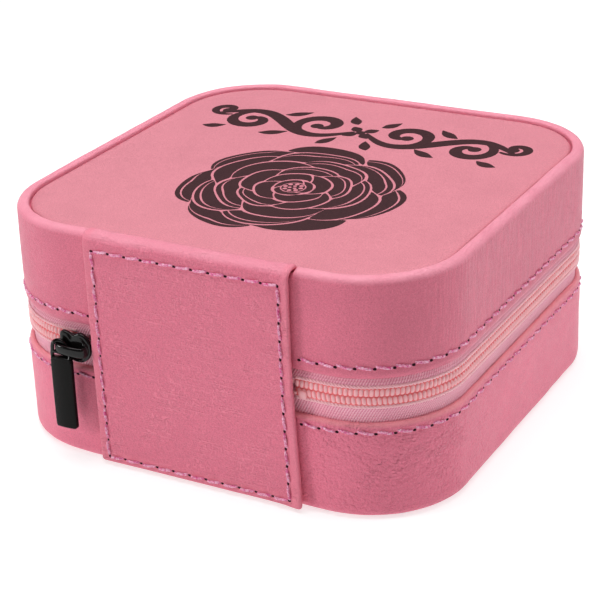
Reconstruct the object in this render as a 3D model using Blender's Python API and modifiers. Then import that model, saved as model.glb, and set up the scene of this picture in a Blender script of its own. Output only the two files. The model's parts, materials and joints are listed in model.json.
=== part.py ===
"""Travel jewelry case: a zipped, leather-covered box with a padded lid, closed at rest.

Metres, +Z up. The origin is the centre of the underside. The case opens at the front (-Y), its
leather hinge is at the back (+Y), and the zip runs round the other three sides and both back corners.
"""
import bpy
import bmesh
from math import cos, pi, radians, sin
from mathutils import Matrix, Vector

MM = 0.001

# Case outline and heights
HALF = 52.5 * MM              # half the width and half the depth
CORNER_R = 22.0 * MM          # plan radius of the outer corners
HEIGHT = 53.5 * MM
BASE_TOP = 21.85 * MM         # upper edge of the base's leather wall
LID_BOTTOM = 31.7 * MM        # lower edge of the lid's leather wall
GAP = 0.3 * MM                # clearance between pieces that touch on the real case
CORNER_STEPS = 8

# Layers of the wall, as distances inward from the outer face
LEATHER = 1.2 * MM
TAPE_IN, TAPE_T = 1.5 * MM, 0.6 * MM
BOARD_IN, BOARD_T = 2.4 * MM, 1.5 * MM
LINING_IN, LINING_T = 4.2 * MM, 1.0 * MM

# Rim, groove and padded top of the lid; turned-in foot of the base
RIM_W = 2.7 * MM
TOP_DROP = 0.6 * MM           # the padded top lies this far below the rim
RIM_ROUND = 1.6 * MM
FOOT_W = 6.0 * MM
FOOT_ROUND = 2.0 * MM

# Hinge: one leather panel, split here at the axis into the halves that the two bodies carry
HINGE_Y = 53.3 * MM
HINGE_Z = 26.8 * MM
PANEL_HALF_W = 24.2 * MM
PANEL_T = 1.2 * MM
PANEL_BOTTOM, PANEL_TOP = 0.8 * MM, 53.3 * MM
HINGE_GAP = 2.4 * MM

# Zip
TAPE_TUCK = 4.5 * MM          # how far each tape reaches behind the leather's edge
COIL_IN = -0.15 * MM          # outer face of the coil, inward from the wall's outer face
COIL_T = 1.4 * MM
COIL_H = 1.1 * MM
CHAIN_Z = 27.7 * MM           # mid height of the chain
CHAIN_GAP = 1.4 * MM          # between the two coils, where the slider's post runs

# Slider, at the +X end of the chain, beside the hinge panel
SLIDER_X = 28.7 * MM
SLIDER_Z = 27.1 * MM
SLIDER_LEN = 8.2 * MM
SLIDER_H = 6.6 * MM
PLATE_T = 1.1 * MM
FRONT_PLATE_Y = 53.05 * MM    # inner face of the front plate
BACK_PLATE_Y = 49.4 * MM      # outer face of the back plate
CROWN_Y = 56.15 * MM          # axis of the crown bar
CROWN_R = 0.5 * MM
CROWN_TURN = 0.9 * MM
CROWN_HALF_SPAN = 3.4 * MM
PULL_X = 30.8 * MM
PULL_LEN = 18.5 * MM
PULL_W = 5.4 * MM
EYE_R, EYE_WIRE_R = 1.2 * MM, 0.42 * MM

# Interior
DIVIDER_X = -7.2 * MM
BOARD_DIVIDER_T = 2.0 * MM
CROSS_Y = 16.0 * MM
FLOOR_TOP = 4.3 * MM
ROLL_COUNT = 6
ROLL_PITCH = 12.6 * MM
ROLL_X = (-44.5 * MM, -9.4 * MM)
CEILING = 48.0 * MM
STRAP_X = (-24.0 * MM, 0.0, 24.0 * MM)
STRAP_PIVOT = (-42.5 * MM, 46.0 * MM)
STRAP_LEN = 20.0 * MM

for old in list(bpy.data.objects):
    bpy.data.objects.remove(old)

case = bpy.data.collections.new("travel_jewelry_case")
cutters = bpy.data.collections.new("cutters")
for group in (case, cutters):
    bpy.context.scene.collection.children.link(group)


# ---------------------------------------------------------------- materials
def material(name, colour, roughness, metallic=0.0):
    mat = bpy.data.materials.new(name)
    mat.use_nodes = True
    shader = mat.node_tree.nodes["Principled BSDF"]
    shader.inputs["Base Color"].default_value = (*colour, 1.0)
    shader.inputs["Roughness"].default_value = roughness
    shader.inputs["Metallic"].default_value = metallic
    return mat


PINK_LEATHER = material("pink_leather", (0.78, 0.28, 0.36), 0.5)
LINING = material("velvet_lining", (0.74, 0.36, 0.40), 0.9)
GREY_BOARD = material("grey_board", (0.42, 0.40, 0.37), 0.85)
FOAM = material("foam_pad", (0.85, 0.80, 0.68), 0.9)
TAPE = material("zip_tape", (0.86, 0.33, 0.42), 0.8)
COIL = material("zip_coil", (0.93, 0.40, 0.47), 0.4)
BLACK_METAL = material("black_metal", (0.012, 0.012, 0.013), 0.25, 0.6)
SNAP_METAL = material("snap_metal", (0.75, 0.70, 0.62), 0.25, 1.0)
ELASTIC = material("elastic_band", (0.72, 0.30, 0.36), 0.85)


# ---------------------------------------------------------------- shape helpers
def finish(obj, mat):
    """Put an object in the case's collection with its material."""
    for holder in list(obj.users_collection):
        holder.objects.unlink(obj)
    case.objects.link(obj)
    obj.data.materials.clear()
    obj.data.materials.append(mat)
    return obj


def new_object(name, bm, mat, smooth=None):
    bmesh.ops.recalc_face_normals(bm, faces=bm.faces)
    mesh = bpy.data.meshes.new(name)
    bm.to_mesh(mesh)
    bm.free()
    if smooth is not None:
        mesh.shade_smooth()
        mesh.set_sharp_from_angle(angle=radians(smooth))
    return finish(bpy.data.objects.new(name, mesh), mat)


def rounded_square(inset, steps=CORNER_STEPS):
    """Plan outline of the case, moved inward by inset: four arcs joined by straight sides."""
    radius = CORNER_R - inset
    centre = HALF - CORNER_R
    points = []
    for quarter in range(4):
        turn = quarter * pi / 2
        cx = centre * (1 if quarter in (0, 3) else -1)
        cy = centre * (1 if quarter in (0, 1) else -1)
        for step in range(steps + 1):
            angle = turn + step / steps * pi / 2
            points.append((cx + radius * cos(angle), cy + radius * sin(angle)))
    return points


def add_solidify(obj, thickness, offset):
    shell = obj.modifiers.new("thickness", "SOLIDIFY")
    shell.thickness = thickness
    shell.offset = offset
    shell.use_even_offset = True


def add_bevel(obj, width, segments=2, angle=40):
    bevel = obj.modifiers.new("rounding", "BEVEL")
    bevel.width = width
    bevel.segments = segments
    bevel.limit_method = "ANGLE"
    bevel.angle_limit = radians(angle)


def wall_shell(name, stations, thickness, mat, closed_end=False):
    """A shell that follows the plan outline. Each station is (inset, z), and the surface through
    them thickens inward. closed_end fills the last outline, which makes a tray."""
    bm = bmesh.new()
    rings = [[bm.verts.new((x, y, z)) for x, y in rounded_square(inset)] for inset, z in stations]
    for ring, following in zip(rings, rings[1:]):
        for a, b, c, d in zip(ring, ring[1:] + ring[:1], following[1:] + following[:1], following):
            bm.faces.new((a, b, c, d))
    if closed_end:
        bm.faces.new(rings[-1])
    obj = new_object(name, bm, mat, smooth=35)
    # Normals are made to point out of the case, so that the thickness goes inward.
    side = max(obj.data.polygons, key=lambda face: face.center.x)
    if side.normal.x < 0:
        obj.data.flip_normals()
    add_solidify(obj, thickness, -1.0)
    return obj


def plate(name, inset, z_low, z_high, mat, round_edge=0.0):
    """A flat sheet with the case's outline: a filled 2D curve with an extrude."""
    curve = bpy.data.curves.new(name, "CURVE")
    curve.dimensions = "2D"
    curve.fill_mode = "BOTH"
    curve.extrude = (z_high - z_low) / 2 - round_edge
    curve.bevel_depth = round_edge
    curve.bevel_resolution = 1
    outline = rounded_square(inset + round_edge)
    spline = curve.splines.new("POLY")
    spline.points.add(len(outline) - 1)
    for point, (x, y) in zip(spline.points, outline):
        point.co = (x, y, 0, 1)
    spline.use_cyclic_u = True
    obj = finish(bpy.data.objects.new(name, curve), mat)
    obj.location.z = (z_low + z_high) / 2
    return obj


def box(name, low, high, mat, bevel=0.0, segments=2):
    bm = bmesh.new()
    low, high = Vector(low), Vector(high)
    size = Matrix.Diagonal((high - low).to_4d())
    bmesh.ops.create_cube(bm, size=1.0, matrix=Matrix.Translation((low + high) / 2) @ size)
    obj = new_object(name, bm, mat, smooth=40)
    if bevel:
        add_bevel(obj, bevel, segments)
    return obj


def cylinder(bm, radius, depth, centre, axis="Z", segments=20):
    turns = {"X": Matrix.Rotation(pi / 2, 4, "Y"), "Y": Matrix.Rotation(pi / 2, 4, "X"), "Z": Matrix()}
    bmesh.ops.create_cone(bm, cap_ends=True, segments=segments, radius1=radius, radius2=radius,
                          depth=depth, matrix=Matrix.Translation(centre) @ turns[axis])


def outline_arc(inset, z_low, z_high, thickness, name, mat, start, end):
    """A band that follows the plan outline from one point of it to another, counted in outline
    length from the middle of the back towards +X, and thickens inward."""
    points = outline_from_back(inset)
    total = points[-1][2]
    kept = [place_on(points, start)]
    kept += [(x, y) for x, y, run in points if start < run < total - end]
    kept.append(place_on(points, total - end))
    bm = bmesh.new()
    low = [bm.verts.new((x, y, z_low)) for x, y in kept]
    high = [bm.verts.new((x, y, z_high)) for x, y in kept]
    for a, b, c, d in zip(low, low[1:], high[1:], high):
        bm.faces.new((a, b, c, d))
    mesh_object = new_object(name, bm, mat, smooth=35)
    front = min(mesh_object.data.polygons, key=lambda face: face.center.y)
    if front.normal.y > 0:
        mesh_object.data.flip_normals()
    add_solidify(mesh_object, thickness, -1.0)
    return mesh_object


def outline_from_back(inset):
    """The outline as (x, y, run), clockwise from above, starting at the middle of the back."""
    loop = rounded_square(inset)
    right_back = loop[:CORNER_STEPS + 1][::-1]
    rest = loop[CORNER_STEPS + 1:][::-1]
    ordered = [(0.0, HALF - inset)] + right_back + rest + [(0.0, HALF - inset)]
    run, out = 0.0, []
    for index, (x, y) in enumerate(ordered):
        if index:
            run += (Vector((x, y)) - Vector(ordered[index - 1])).length
        out.append((x, y, run))
    return out


def place_on(points, run):
    for (ax, ay, arun), (bx, by, brun) in zip(points, points[1:]):
        if arun <= run <= brun:
            share = (run - arun) / (brun - arun)
            return (ax + (bx - ax) * share, ay + (by - ay) * share)
    return points[-1][:2]


# ---------------------------------------------------------------- base
def make_base():
    bottom_round = [(FOOT_ROUND * (1 - sin(a)), FOOT_ROUND * (1 - cos(a)))
                    for a in (pi / 2, pi / 3, pi / 6, 0.0)]
    wrap = [(0.0, BASE_TOP)] + bottom_round + [(FOOT_W, 0.0)]
    wall_shell("base_leather_wrap", wrap, LEATHER, PINK_LEATHER)
    plate("base_bottom_leather", FOOT_W + GAP, 0.0, LEATHER, PINK_LEATHER)
    plate("base_floor_board", TAPE_IN + 0.8 * MM, LEATHER + GAP, 3.0 * MM, GREY_BOARD)
    wall_shell("base_wall_board", [(BOARD_IN, BASE_TOP - GAP), (BOARD_IN, 3.3 * MM)], BOARD_T, GREY_BOARD)
    tray = [(LINING_IN, BASE_TOP - GAP), (LINING_IN, FLOOR_TOP - LINING_T)]
    wall_shell("base_lining", tray, LINING_T, LINING, closed_end=True)


def make_ring_rolls():
    """A row of soft oval rolls across the left side; rings are held in the slits between them."""
    span = ROLL_X[1] - ROLL_X[0]
    for index in range(ROLL_COUNT):
        y = (index - (ROLL_COUNT - 1) / 2) * ROLL_PITCH
        bm = bmesh.new()
        cylinder(bm, 1.0, span, (0, 0, 0), "X", 20)
        roll = new_object(f"ring_roll_{index + 1}", bm, LINING, smooth=50)
        roll.data.transform(Matrix.Diagonal((1.0, 5.9 * MM, 6.9 * MM, 1.0)))
        roll.location = ((ROLL_X[0] + ROLL_X[1]) / 2, y, FLOOR_TOP + GAP + 6.9 * MM)
        add_bevel(roll, 1.6 * MM, 2, 60)


def make_dividers():
    """One fixed divider from front to back, and two loose ones that lift out of the right side."""
    floor = FLOOR_TOP + GAP
    half_t = BOARD_DIVIDER_T / 2
    tray_half = HALF - LINING_IN - LINING_T
    reach = tray_half - 0.4 * MM
    box("long_divider", (DIVIDER_X - half_t, -reach, floor), (DIVIDER_X + half_t, reach, 20.4 * MM),
        LINING, 0.6 * MM)
    for label, y in (("front", -CROSS_Y), ("rear", CROSS_Y)):
        box(f"cross_divider_{label}", (DIVIDER_X + half_t + GAP, y - half_t, floor),
            (tray_half - 0.9 * MM, y + half_t, 19.6 * MM), LINING, 0.6 * MM)


# ---------------------------------------------------------------- lid
def make_lid():
    top_round = [(RIM_ROUND * (1 - sin(a)), HEIGHT - RIM_ROUND * (1 - cos(a)))
                 for a in (pi / 2, pi / 3, pi / 6, 0.0)]
    wrap = [(0.0, LID_BOTTOM)] + top_round + [(RIM_W, HEIGHT)]
    wall_shell("lid_leather_wrap", wrap, LEATHER, PINK_LEATHER)
    top = HEIGHT - TOP_DROP
    plate("lid_top_leather", RIM_W + GAP, top - 1.0 * MM, top, PINK_LEATHER, round_edge=0.4 * MM)
    plate("lid_top_pad", RIM_W + 0.6 * MM, 50.8 * MM, top - 1.0 * MM - GAP, FOAM)
    plate("lid_top_board", TAPE_IN, 49.3 * MM, 50.5 * MM, GREY_BOARD)
    wall_shell("lid_wall_board", [(BOARD_IN, LID_BOTTOM + GAP), (BOARD_IN, 49.0 * MM)], BOARD_T, GREY_BOARD)
    lining = [(LINING_IN, LID_BOTTOM + GAP), (LINING_IN, CEILING + LINING_T)]
    wall_shell("lid_lining", lining, LINING_T, LINING, closed_end=True)


def make_pocket():
    """A shallow pouch under the lid's ceiling, open towards the front, with a gathered elastic edge."""
    half_w, front, back = 37.0 * MM, 9.0 * MM, 41.0 * MM
    top, bottom = CEILING - GAP, CEILING - 3.6 * MM
    bm = bmesh.new()
    size = Matrix.Diagonal((2 * half_w, back - front, top - bottom, 1.0))
    place = Matrix.Translation((0, (front + back) / 2, (top + bottom) / 2))
    bmesh.ops.create_cube(bm, size=1.0, matrix=place @ size)
    open_sides = [f for f in bm.faces if f.normal.z > 0.9 or f.normal.y < -0.9]
    bmesh.ops.delete(bm, geom=open_sides, context="FACES_ONLY")
    pocket = new_object("lid_pocket", bm, LINING)
    lowest = min(pocket.data.polygons, key=lambda face: face.center.z)
    if lowest.normal.z > 0:
        pocket.data.flip_normals()
    add_solidify(pocket, 0.8 * MM, -1.0)
    box("pocket_elastic", (-half_w, front - 3.0 * MM, bottom - 0.4 * MM),
        (half_w, front - GAP, bottom + 1.4 * MM), ELASTIC, 0.5 * MM)


def make_necklace_straps():
    """Three tongues under the lid, sewn to a strip near the front, each closed by a snap."""
    pivot_y, pivot_z = STRAP_PIVOT
    box("strap_mount_strip", (-34.0 * MM, pivot_y - 4.3 * MM, pivot_z + 0.9 * MM),
        (34.0 * MM, pivot_y + 1.5 * MM, CEILING - GAP), PINK_LEATHER, 0.3 * MM, 1)
    for index, x in enumerate(STRAP_X):
        pivot = bpy.data.objects.new(f"strap_pivot_{index + 1}", None)
        pivot.location = (x, pivot_y, pivot_z)
        case.objects.link(pivot)
        strap = box(f"necklace_strap_{index + 1}", (-4.0 * MM, -0.6 * MM, -0.6 * MM),
                    (4.0 * MM, STRAP_LEN, 0.6 * MM), PINK_LEATHER, 0.3 * MM, 1)
        strap.parent = pivot
        snap_y = STRAP_LEN - 4.0 * MM
        cap = bmesh.new()
        cylinder(cap, 3.0 * MM, 0.9 * MM, (0, snap_y, -1.4 * MM))
        cap_object = new_object(f"snap_cap_{index + 1}", cap, SNAP_METAL, smooth=40)
        add_bevel(cap_object, 0.35 * MM, 2)
        cap_object.parent = pivot
        stud = bmesh.new()
        cylinder(stud, 2.4 * MM, 0.8 * MM, (x, pivot_y + snap_y, CEILING - GAP - 0.4 * MM))
        new_object(f"snap_stud_{index + 1}", stud, SNAP_METAL, smooth=40)


# ---------------------------------------------------------------- hinge and zip
def make_hinge_panel():
    """The stitched panel on the back, and the backing inside it; each is split at the hinge axis."""
    inner = HALF + GAP
    for label, low, high in (("lower", PANEL_BOTTOM, HINGE_Z - HINGE_GAP / 2),
                             ("upper", HINGE_Z + HINGE_GAP / 2, PANEL_TOP)):
        box(f"hinge_panel_{label}", (-PANEL_HALF_W, inner, low), (PANEL_HALF_W, inner + PANEL_T, high),
            PINK_LEATHER, 0.4 * MM)
    back = HALF - TAPE_IN
    half_w = PANEL_HALF_W - 1.4 * MM
    box("hinge_backing_lower", (-half_w, back - TAPE_T, BASE_TOP - TAPE_TUCK),
        (half_w, back, HINGE_Z - HINGE_GAP / 2), LINING)
    box("hinge_backing_upper", (-half_w, back - TAPE_T, HINGE_Z + HINGE_GAP / 2),
        (half_w, back, LID_BOTTOM + TAPE_TUCK), LINING)


def make_zip():
    """Tapes with their coils. The lid's tape starts past the slider, so that the lid can rise."""
    edge = PANEL_HALF_W - 1.1 * MM
    past_slider = 34.4 * MM
    low_coil_top = CHAIN_Z - CHAIN_GAP / 2
    high_coil_bottom = CHAIN_Z + CHAIN_GAP / 2
    outline_arc(TAPE_IN, BASE_TOP - TAPE_TUCK, low_coil_top, TAPE_T, "zip_tape_lower", TAPE, edge, edge)
    outline_arc(TAPE_IN, high_coil_bottom, LID_BOTTOM + TAPE_TUCK, TAPE_T, "zip_tape_upper", TAPE,
                past_slider, edge)
    coil_edge = PANEL_HALF_W + 0.6 * MM
    outline_arc(COIL_IN, low_coil_top - COIL_H, low_coil_top, COIL_T, "zip_coil_lower", COIL,
                coil_edge, coil_edge + 2.4 * MM)
    outline_arc(COIL_IN, high_coil_bottom, high_coil_bottom + COIL_H, COIL_T, "zip_coil_upper", COIL,
                past_slider, coil_edge + 2.4 * MM)
    stop_x = -PANEL_HALF_W - 1.6 * MM
    box("zip_bottom_stop", (stop_x - 0.8 * MM, HALF - 1.2 * MM, low_coil_top - COIL_H),
        (stop_x + 0.8 * MM, HALF + 0.1 * MM, low_coil_top), COIL, 0.3 * MM, 1)


def boolean(target, tool, operation):
    """Join a tool to a target, or cut it away; the tool moves to the cutters' collection."""
    step = target.modifiers.new(f"{operation.lower()}_{tool.name}", "BOOLEAN")
    step.operation = operation
    step.object = tool
    for holder in list(tool.users_collection):
        holder.objects.unlink(tool)
    cutters.objects.link(tool)
    tool.hide_render = True
    tool.display_type = "WIRE"


def make_slider():
    """Slider: front and back plates joined by a post between the coils, with a crown bar that the
    pull's eye goes round."""
    x_low, x_high = SLIDER_X - SLIDER_LEN / 2, SLIDER_X + SLIDER_LEN / 2
    z_low, z_high = SLIDER_Z - SLIDER_H / 2, SLIDER_Z + SLIDER_H / 2
    front = FRONT_PLATE_Y
    body = box("slider_body", (x_low, front, z_low), (x_high, front + PLATE_T, z_high), BLACK_METAL,
               0.45 * MM)
    back = box("slider_back_plate", (x_low + 1.4 * MM, BACK_PLATE_Y - PLATE_T, z_low + 0.6 * MM),
               (x_high - 0.2 * MM, BACK_PLATE_Y, z_high - 0.6 * MM), BLACK_METAL)
    post = box("slider_post", (x_high - 2.4 * MM, BACK_PLATE_Y - 0.4 * MM, CHAIN_Z - 0.4 * MM),
               (x_high - 1.0 * MM, front + 0.4 * MM, CHAIN_Z + 0.4 * MM), BLACK_METAL)
    crown = bpy.data.curves.new("slider_crown", "CURVE")
    crown.dimensions = "3D"
    crown.bevel_depth = CROWN_R
    crown.bevel_resolution = 2
    crown.use_fill_caps = True
    route = crown_route(front + PLATE_T - 0.3 * MM)
    bar = crown.splines.new("POLY")
    bar.points.add(len(route) - 1)
    for point, place in zip(bar.points, route):
        point.co = (*place, 1)
    crown_curve = bpy.data.objects.new("slider_crown_curve", crown)
    case.objects.link(crown_curve)
    for tool in (back, post, curve_to_mesh(crown_curve, "slider_crown")):
        boolean(body, tool, "UNION")
    return body


def crown_route(foot_y):
    """A flat-topped staple along X: up from the front plate, round a quarter turn, along, and down."""
    left, right = SLIDER_X - CROWN_HALF_SPAN, SLIDER_X + CROWN_HALF_SPAN
    turn_y = CROWN_Y - CROWN_TURN
    route = [(left, foot_y, SLIDER_Z)]
    for centre_x, first in ((left + CROWN_TURN, pi), (right - CROWN_TURN, pi / 2)):
        for step in range(4):
            angle = first - step / 3 * pi / 2
            route.append((centre_x + CROWN_TURN * cos(angle), turn_y + CROWN_TURN * sin(angle), SLIDER_Z))
    route.append((right, foot_y, SLIDER_Z))
    return route


def make_pull():
    """Pull tab with an eye round the crown bar; its parent empty is on the bar's axis."""
    tab = box("pull_tab", (-PULL_W / 2, -0.7 * MM, -PULL_LEN), (PULL_W / 2, 0.7 * MM, -1.35 * MM),
              BLACK_METAL, 0.4 * MM)
    bpy.ops.mesh.primitive_torus_add(major_radius=EYE_R, minor_radius=EYE_WIRE_R, major_segments=16,
                                     minor_segments=8, rotation=(0, pi / 2, 0))
    eye = bpy.context.object
    eye.name = "pull_eye"
    boolean(tab, eye, "UNION")
    return tab, eye


def curve_to_mesh(curve_object, name):
    """Turn a bevelled curve into a closed mesh, with its caps welded on, and remove the curve."""
    graph = bpy.context.evaluated_depsgraph_get()
    mesh = bpy.data.meshes.new_from_object(curve_object.evaluated_get(graph))
    bm = bmesh.new()
    bm.from_mesh(mesh)
    bmesh.ops.remove_doubles(bm, verts=bm.verts, dist=0.00001)
    bmesh.ops.recalc_face_normals(bm, faces=bm.faces)
    bm.to_mesh(mesh)
    bm.free()
    mesh.name = name
    solid = bpy.data.objects.new(name, mesh)
    solid.matrix_world = curve_object.matrix_world
    bpy.data.objects.remove(curve_object)
    return finish(solid, BLACK_METAL)


# ---------------------------------------------------------------- assembly
def axis_empty(name, place):
    empty = bpy.data.objects.new(name, None)
    empty.location = place
    case.objects.link(empty)
    return empty


def hang(obj, empty):
    """Parent an object that stands in world coordinates to an empty that isn't turned."""
    obj.parent = empty
    obj.location -= empty.location


make_base()
make_ring_rolls()
make_dividers()
make_lid()
make_pocket()
make_necklace_straps()
make_hinge_panel()
make_zip()
slider_body = make_slider()
pull_tab, pull_eye = make_pull()

corner = HALF - CORNER_R
slider_axis = axis_empty("slider_travel_axis", (corner, corner, SLIDER_Z))
pull_axis = axis_empty("pull_swing_axis", (PULL_X - corner, CROWN_Y - corner, 0))
pull_axis.parent = slider_axis
pull_tab.parent = pull_axis
pull_eye.parent = pull_axis
for piece in [slider_body] + [o for o in cutters.objects if o.name.startswith("slider")]:
    hang(piece, slider_axis)

lid_axis = axis_empty("lid_hinge_axis", (0, HINGE_Y, HINGE_Z))
lid_words = ("lid_", "pocket_", "strap_mount", "strap_pivot", "snap_stud")
for piece in list(case.objects):
    on_lid = piece.name.startswith(lid_words) or piece.name.endswith("_upper")
    if on_lid and piece is not lid_axis:
        hang(piece, lid_axis)
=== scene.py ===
"""Looks of the travel jewelry case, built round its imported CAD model.

Lengths below are in millimetres; mesh_piece() turns them into metres. The frame is the CAD's: origin
under the middle of the case, +Z up, front at -Y, hinge panel and slider at +Y.
"""
import json
from math import cos, degrees, pi, radians, sin, sqrt

import bmesh
import bpy
import numpy as np
from mathutils import Matrix, Vector, noise

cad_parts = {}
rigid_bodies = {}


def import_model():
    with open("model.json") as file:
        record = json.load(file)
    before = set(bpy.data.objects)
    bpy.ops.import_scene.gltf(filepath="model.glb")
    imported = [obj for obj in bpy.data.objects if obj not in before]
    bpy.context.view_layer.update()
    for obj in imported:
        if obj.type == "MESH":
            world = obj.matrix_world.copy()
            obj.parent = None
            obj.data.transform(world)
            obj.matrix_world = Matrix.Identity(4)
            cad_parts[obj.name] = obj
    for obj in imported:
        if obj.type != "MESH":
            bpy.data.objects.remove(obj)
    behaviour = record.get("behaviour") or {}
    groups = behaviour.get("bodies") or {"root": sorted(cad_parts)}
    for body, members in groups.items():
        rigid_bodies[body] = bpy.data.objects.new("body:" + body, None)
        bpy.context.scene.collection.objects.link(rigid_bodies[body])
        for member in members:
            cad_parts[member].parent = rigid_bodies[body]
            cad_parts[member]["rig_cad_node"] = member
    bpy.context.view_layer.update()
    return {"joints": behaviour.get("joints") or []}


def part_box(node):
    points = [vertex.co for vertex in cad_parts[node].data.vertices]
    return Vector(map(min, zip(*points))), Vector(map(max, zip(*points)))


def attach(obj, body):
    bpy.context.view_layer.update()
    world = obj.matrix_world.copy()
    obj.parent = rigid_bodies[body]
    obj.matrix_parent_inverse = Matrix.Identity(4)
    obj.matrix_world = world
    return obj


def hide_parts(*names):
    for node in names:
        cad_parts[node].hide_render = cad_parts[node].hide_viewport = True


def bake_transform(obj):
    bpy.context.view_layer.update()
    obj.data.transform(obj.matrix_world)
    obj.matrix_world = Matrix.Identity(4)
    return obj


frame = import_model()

MM = 0.001


def box_mm(node):
    low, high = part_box(node)
    return np.array(low) / MM, np.array(high) / MM


# ---------------------------------------------------------------- driving sizes, from the frame
LID_LOW, LID_HIGH = (corner[2] for corner in box_mm("lid_leather_wrap"))
HALF = box_mm("lid_leather_wrap")[1][0]
BASE_HIGH = box_mm("base_leather_wrap")[1][2]
PANEL_LOW = box_mm("hinge_panel_lower")[0][2]
PANEL_HALF, PANEL_OUT = box_mm("hinge_panel_lower")[1][:2]
TOP_HALF, TOP_Z = box_mm("lid_top_leather")[1][[0, 2]]
HINGE = next(joint for joint in frame["joints"] if joint["name"] == "lid_hinge")
HINGE_Y, HINGE_Z = (value / MM for value in HINGE["pos_m"][1:])
CHAIN_Z = (box_mm("zip_coil_lower")[1][2] + box_mm("zip_coil_upper")[0][2]) / 2
CORNER = 22.0                                   # plan radius of the outer corners
LEATHER = 1.2                                   # thickness of the leather wraps
STITCH_PITCH = 4.0
CENTRE = HALF - CORNER                          # corner arcs are centred at (+-CENTRE, +-CENTRE)
STRAIGHT, ARC = 2 * CENTRE, pi / 2 * CORNER
LOOP = 4 * (STRAIGHT + ARC)                     # length of the outer outline
COIL_PITCH = 1.08
COIL_INSET = 1.10                               # inset of the coils' middle
TAPE_INSET = 1.2
CHAIN_FROM, CHAIN_TO = 29.0, LOOP - 24.0        # runs between which the chain shows
CHAIN_HELD = CHAIN_FROM + 14 * COIL_PITCH       # up to here the slider holds the upper half
# Pieces that bend from the base to the lid, with the lines between which they bend: the hinge panel over
# its height, and the zip's upper half beside the slider along X. Only the keys are read here: such a piece
# is baked in place and is not bent.
BENDS = {"hinge": ((0, HINGE_Y * MM, 22.5 * MM), (0, HINGE_Y * MM, 31.2 * MM)),
         "held": ((33.2 * MM, 0, 0), (41.0 * MM, 0, 0))}
# Unevenness of the leather walls, each as (height, size, seed)
LID_LUMPS = [(0.14, 17.0, 1), (0.05, 4.5, 2)]
BASE_LUMPS = [(0.16, 15.0, 3), (0.07, 4.0, 4)]


def settle(piece, body, slot, *nodes):
    """Hide the CAD nodes that a piece replaces and attach it to its body; if the body is one of BENDS, the
    piece is baked in place instead. slot is not used.
    """
    if nodes:
        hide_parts(*nodes)
    if body in BENDS:
        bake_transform(piece)
    else:
        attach(piece, body)


# ---------------------------------------------------------------- curves and sections
def unit(vectors):
    return vectors / (np.linalg.norm(vectors, axis=-1, keepdims=True) + 1e-12)


def distances(path):
    """How far along its path each point is."""
    return np.concatenate([[0], np.cumsum(np.linalg.norm(np.diff(path, axis=0), axis=1))])


def ripple(points, size, seed):
    """Smooth noise from -1 to 1 at each point, with lumps of about size mm."""
    shift = Vector((seed * 7.31, seed * 3.17, seed * 5.03))
    return np.array([noise.noise(Vector(p) / size + shift) for p in points])


def outline(runs):
    """Points and outward normals of the plan outline, at runs mm clockwise (seen from above) from
    the middle of the back."""
    runs = (np.asarray(runs, float) + STRAIGHT / 2) % LOOP
    side = np.floor(runs / (STRAIGHT + ARC)).astype(int) % 4
    along = runs - side * (STRAIGHT + ARC)
    angle = np.clip((along - STRAIGHT) / CORNER, 0, pi / 2)
    normal = np.stack([np.sin(angle), np.cos(angle)], 1)
    point = np.stack([np.where(along < STRAIGHT, along - CENTRE, CENTRE), np.full(len(along), CENTRE)], 1)
    point += normal * CORNER
    for turn in (1, 2, 3):
        turned_on = side >= turn
        for vectors in (point, normal):
            vectors[turned_on] = vectors[turned_on][:, ::-1] * (1, -1)
    return point, normal


def around(runs, insets, zs):
    """Points along the plan outline, moved inward by insets, at heights zs."""
    plan, normal = outline(runs)
    insets, zs = (np.broadcast_to(values, len(plan)) for values in (insets, zs))
    return np.column_stack([plan - normal * insets[:, None], zs])


def smooth_curve(points, count, closed=True):
    """A Catmull-Rom curve through the points."""
    points = np.asarray(points, float)
    if closed:
        steps = np.linspace(0, len(points), count, endpoint=False)
        points = points[np.arange(-1, len(points) + 2) % len(points)]
    else:
        steps = np.linspace(0, len(points) - 1.000001, count)
        points = np.vstack([2 * points[0] - points[1], points, 2 * points[-1] - points[-2]])
    t = (steps % 1)[:, None]
    a, b, c, d = (points[steps.astype(int) + k] for k in range(4))
    return 0.5 * (2 * b + (c - a) * t + (2 * a - 5 * b + 4 * c - d) * t ** 2
                  + (3 * b - a - 3 * c + d) * t ** 3)


def arc(centre, radius, first, last, steps):
    """Points of an arc, or an ellipse where radius is a pair. Angles are in degrees."""
    turn = np.radians(np.linspace(first, last, steps + 1))[:, None]
    return (np.array(centre) + np.hstack([np.cos(turn), np.sin(turn)]) * radius).tolist()


def rounded_rect(width, thick, radius, steps=3):
    """Section of a bar as (u, v) points, anticlockwise."""
    points = []
    u, v = width / 2 - radius, thick / 2 - radius
    for centre, first in (((u, v), 0), ((-u, v), 90), ((-u, -v), 180), ((u, -v), 270)):
        points += arc(centre, radius, first, first + 90, steps)
    return np.array(points)


def oval_section(width, thick, squareness=2.6, steps=28):
    """Section of a bar whose faces are all gently domed."""
    turn = np.linspace(0, 2 * pi, steps, endpoint=False)
    ways = np.column_stack([np.cos(turn), np.sin(turn)])
    return np.sign(ways) * np.abs(ways) ** (2 / squareness) * (width / 2, thick / 2)


# ---------------------------------------------------------------- mesh helpers
def mesh_piece(name, verts, faces, mat, smooth=True, uv=None):
    """An object from points in millimetres. uv holds one (u, v) pair for each vertex, in mm."""
    mesh = bpy.data.meshes.new(name)
    mesh.from_pydata((np.asarray(verts, float) * MM).tolist(), [], [tuple(f) for f in faces])
    if uv is not None:
        layer = mesh.uv_layers.new(name="mm")
        corners = np.zeros(len(mesh.loops), int)
        mesh.loops.foreach_get("vertex_index", corners)
        layer.data.foreach_set("uv", np.asarray(uv, float)[corners].ravel())
    mesh.update()
    if smooth:
        mesh.shade_smooth()
    obj = bpy.data.objects.new(name, mesh)
    bpy.context.scene.collection.objects.link(obj)
    mesh.materials.append(mat)
    return obj


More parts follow.
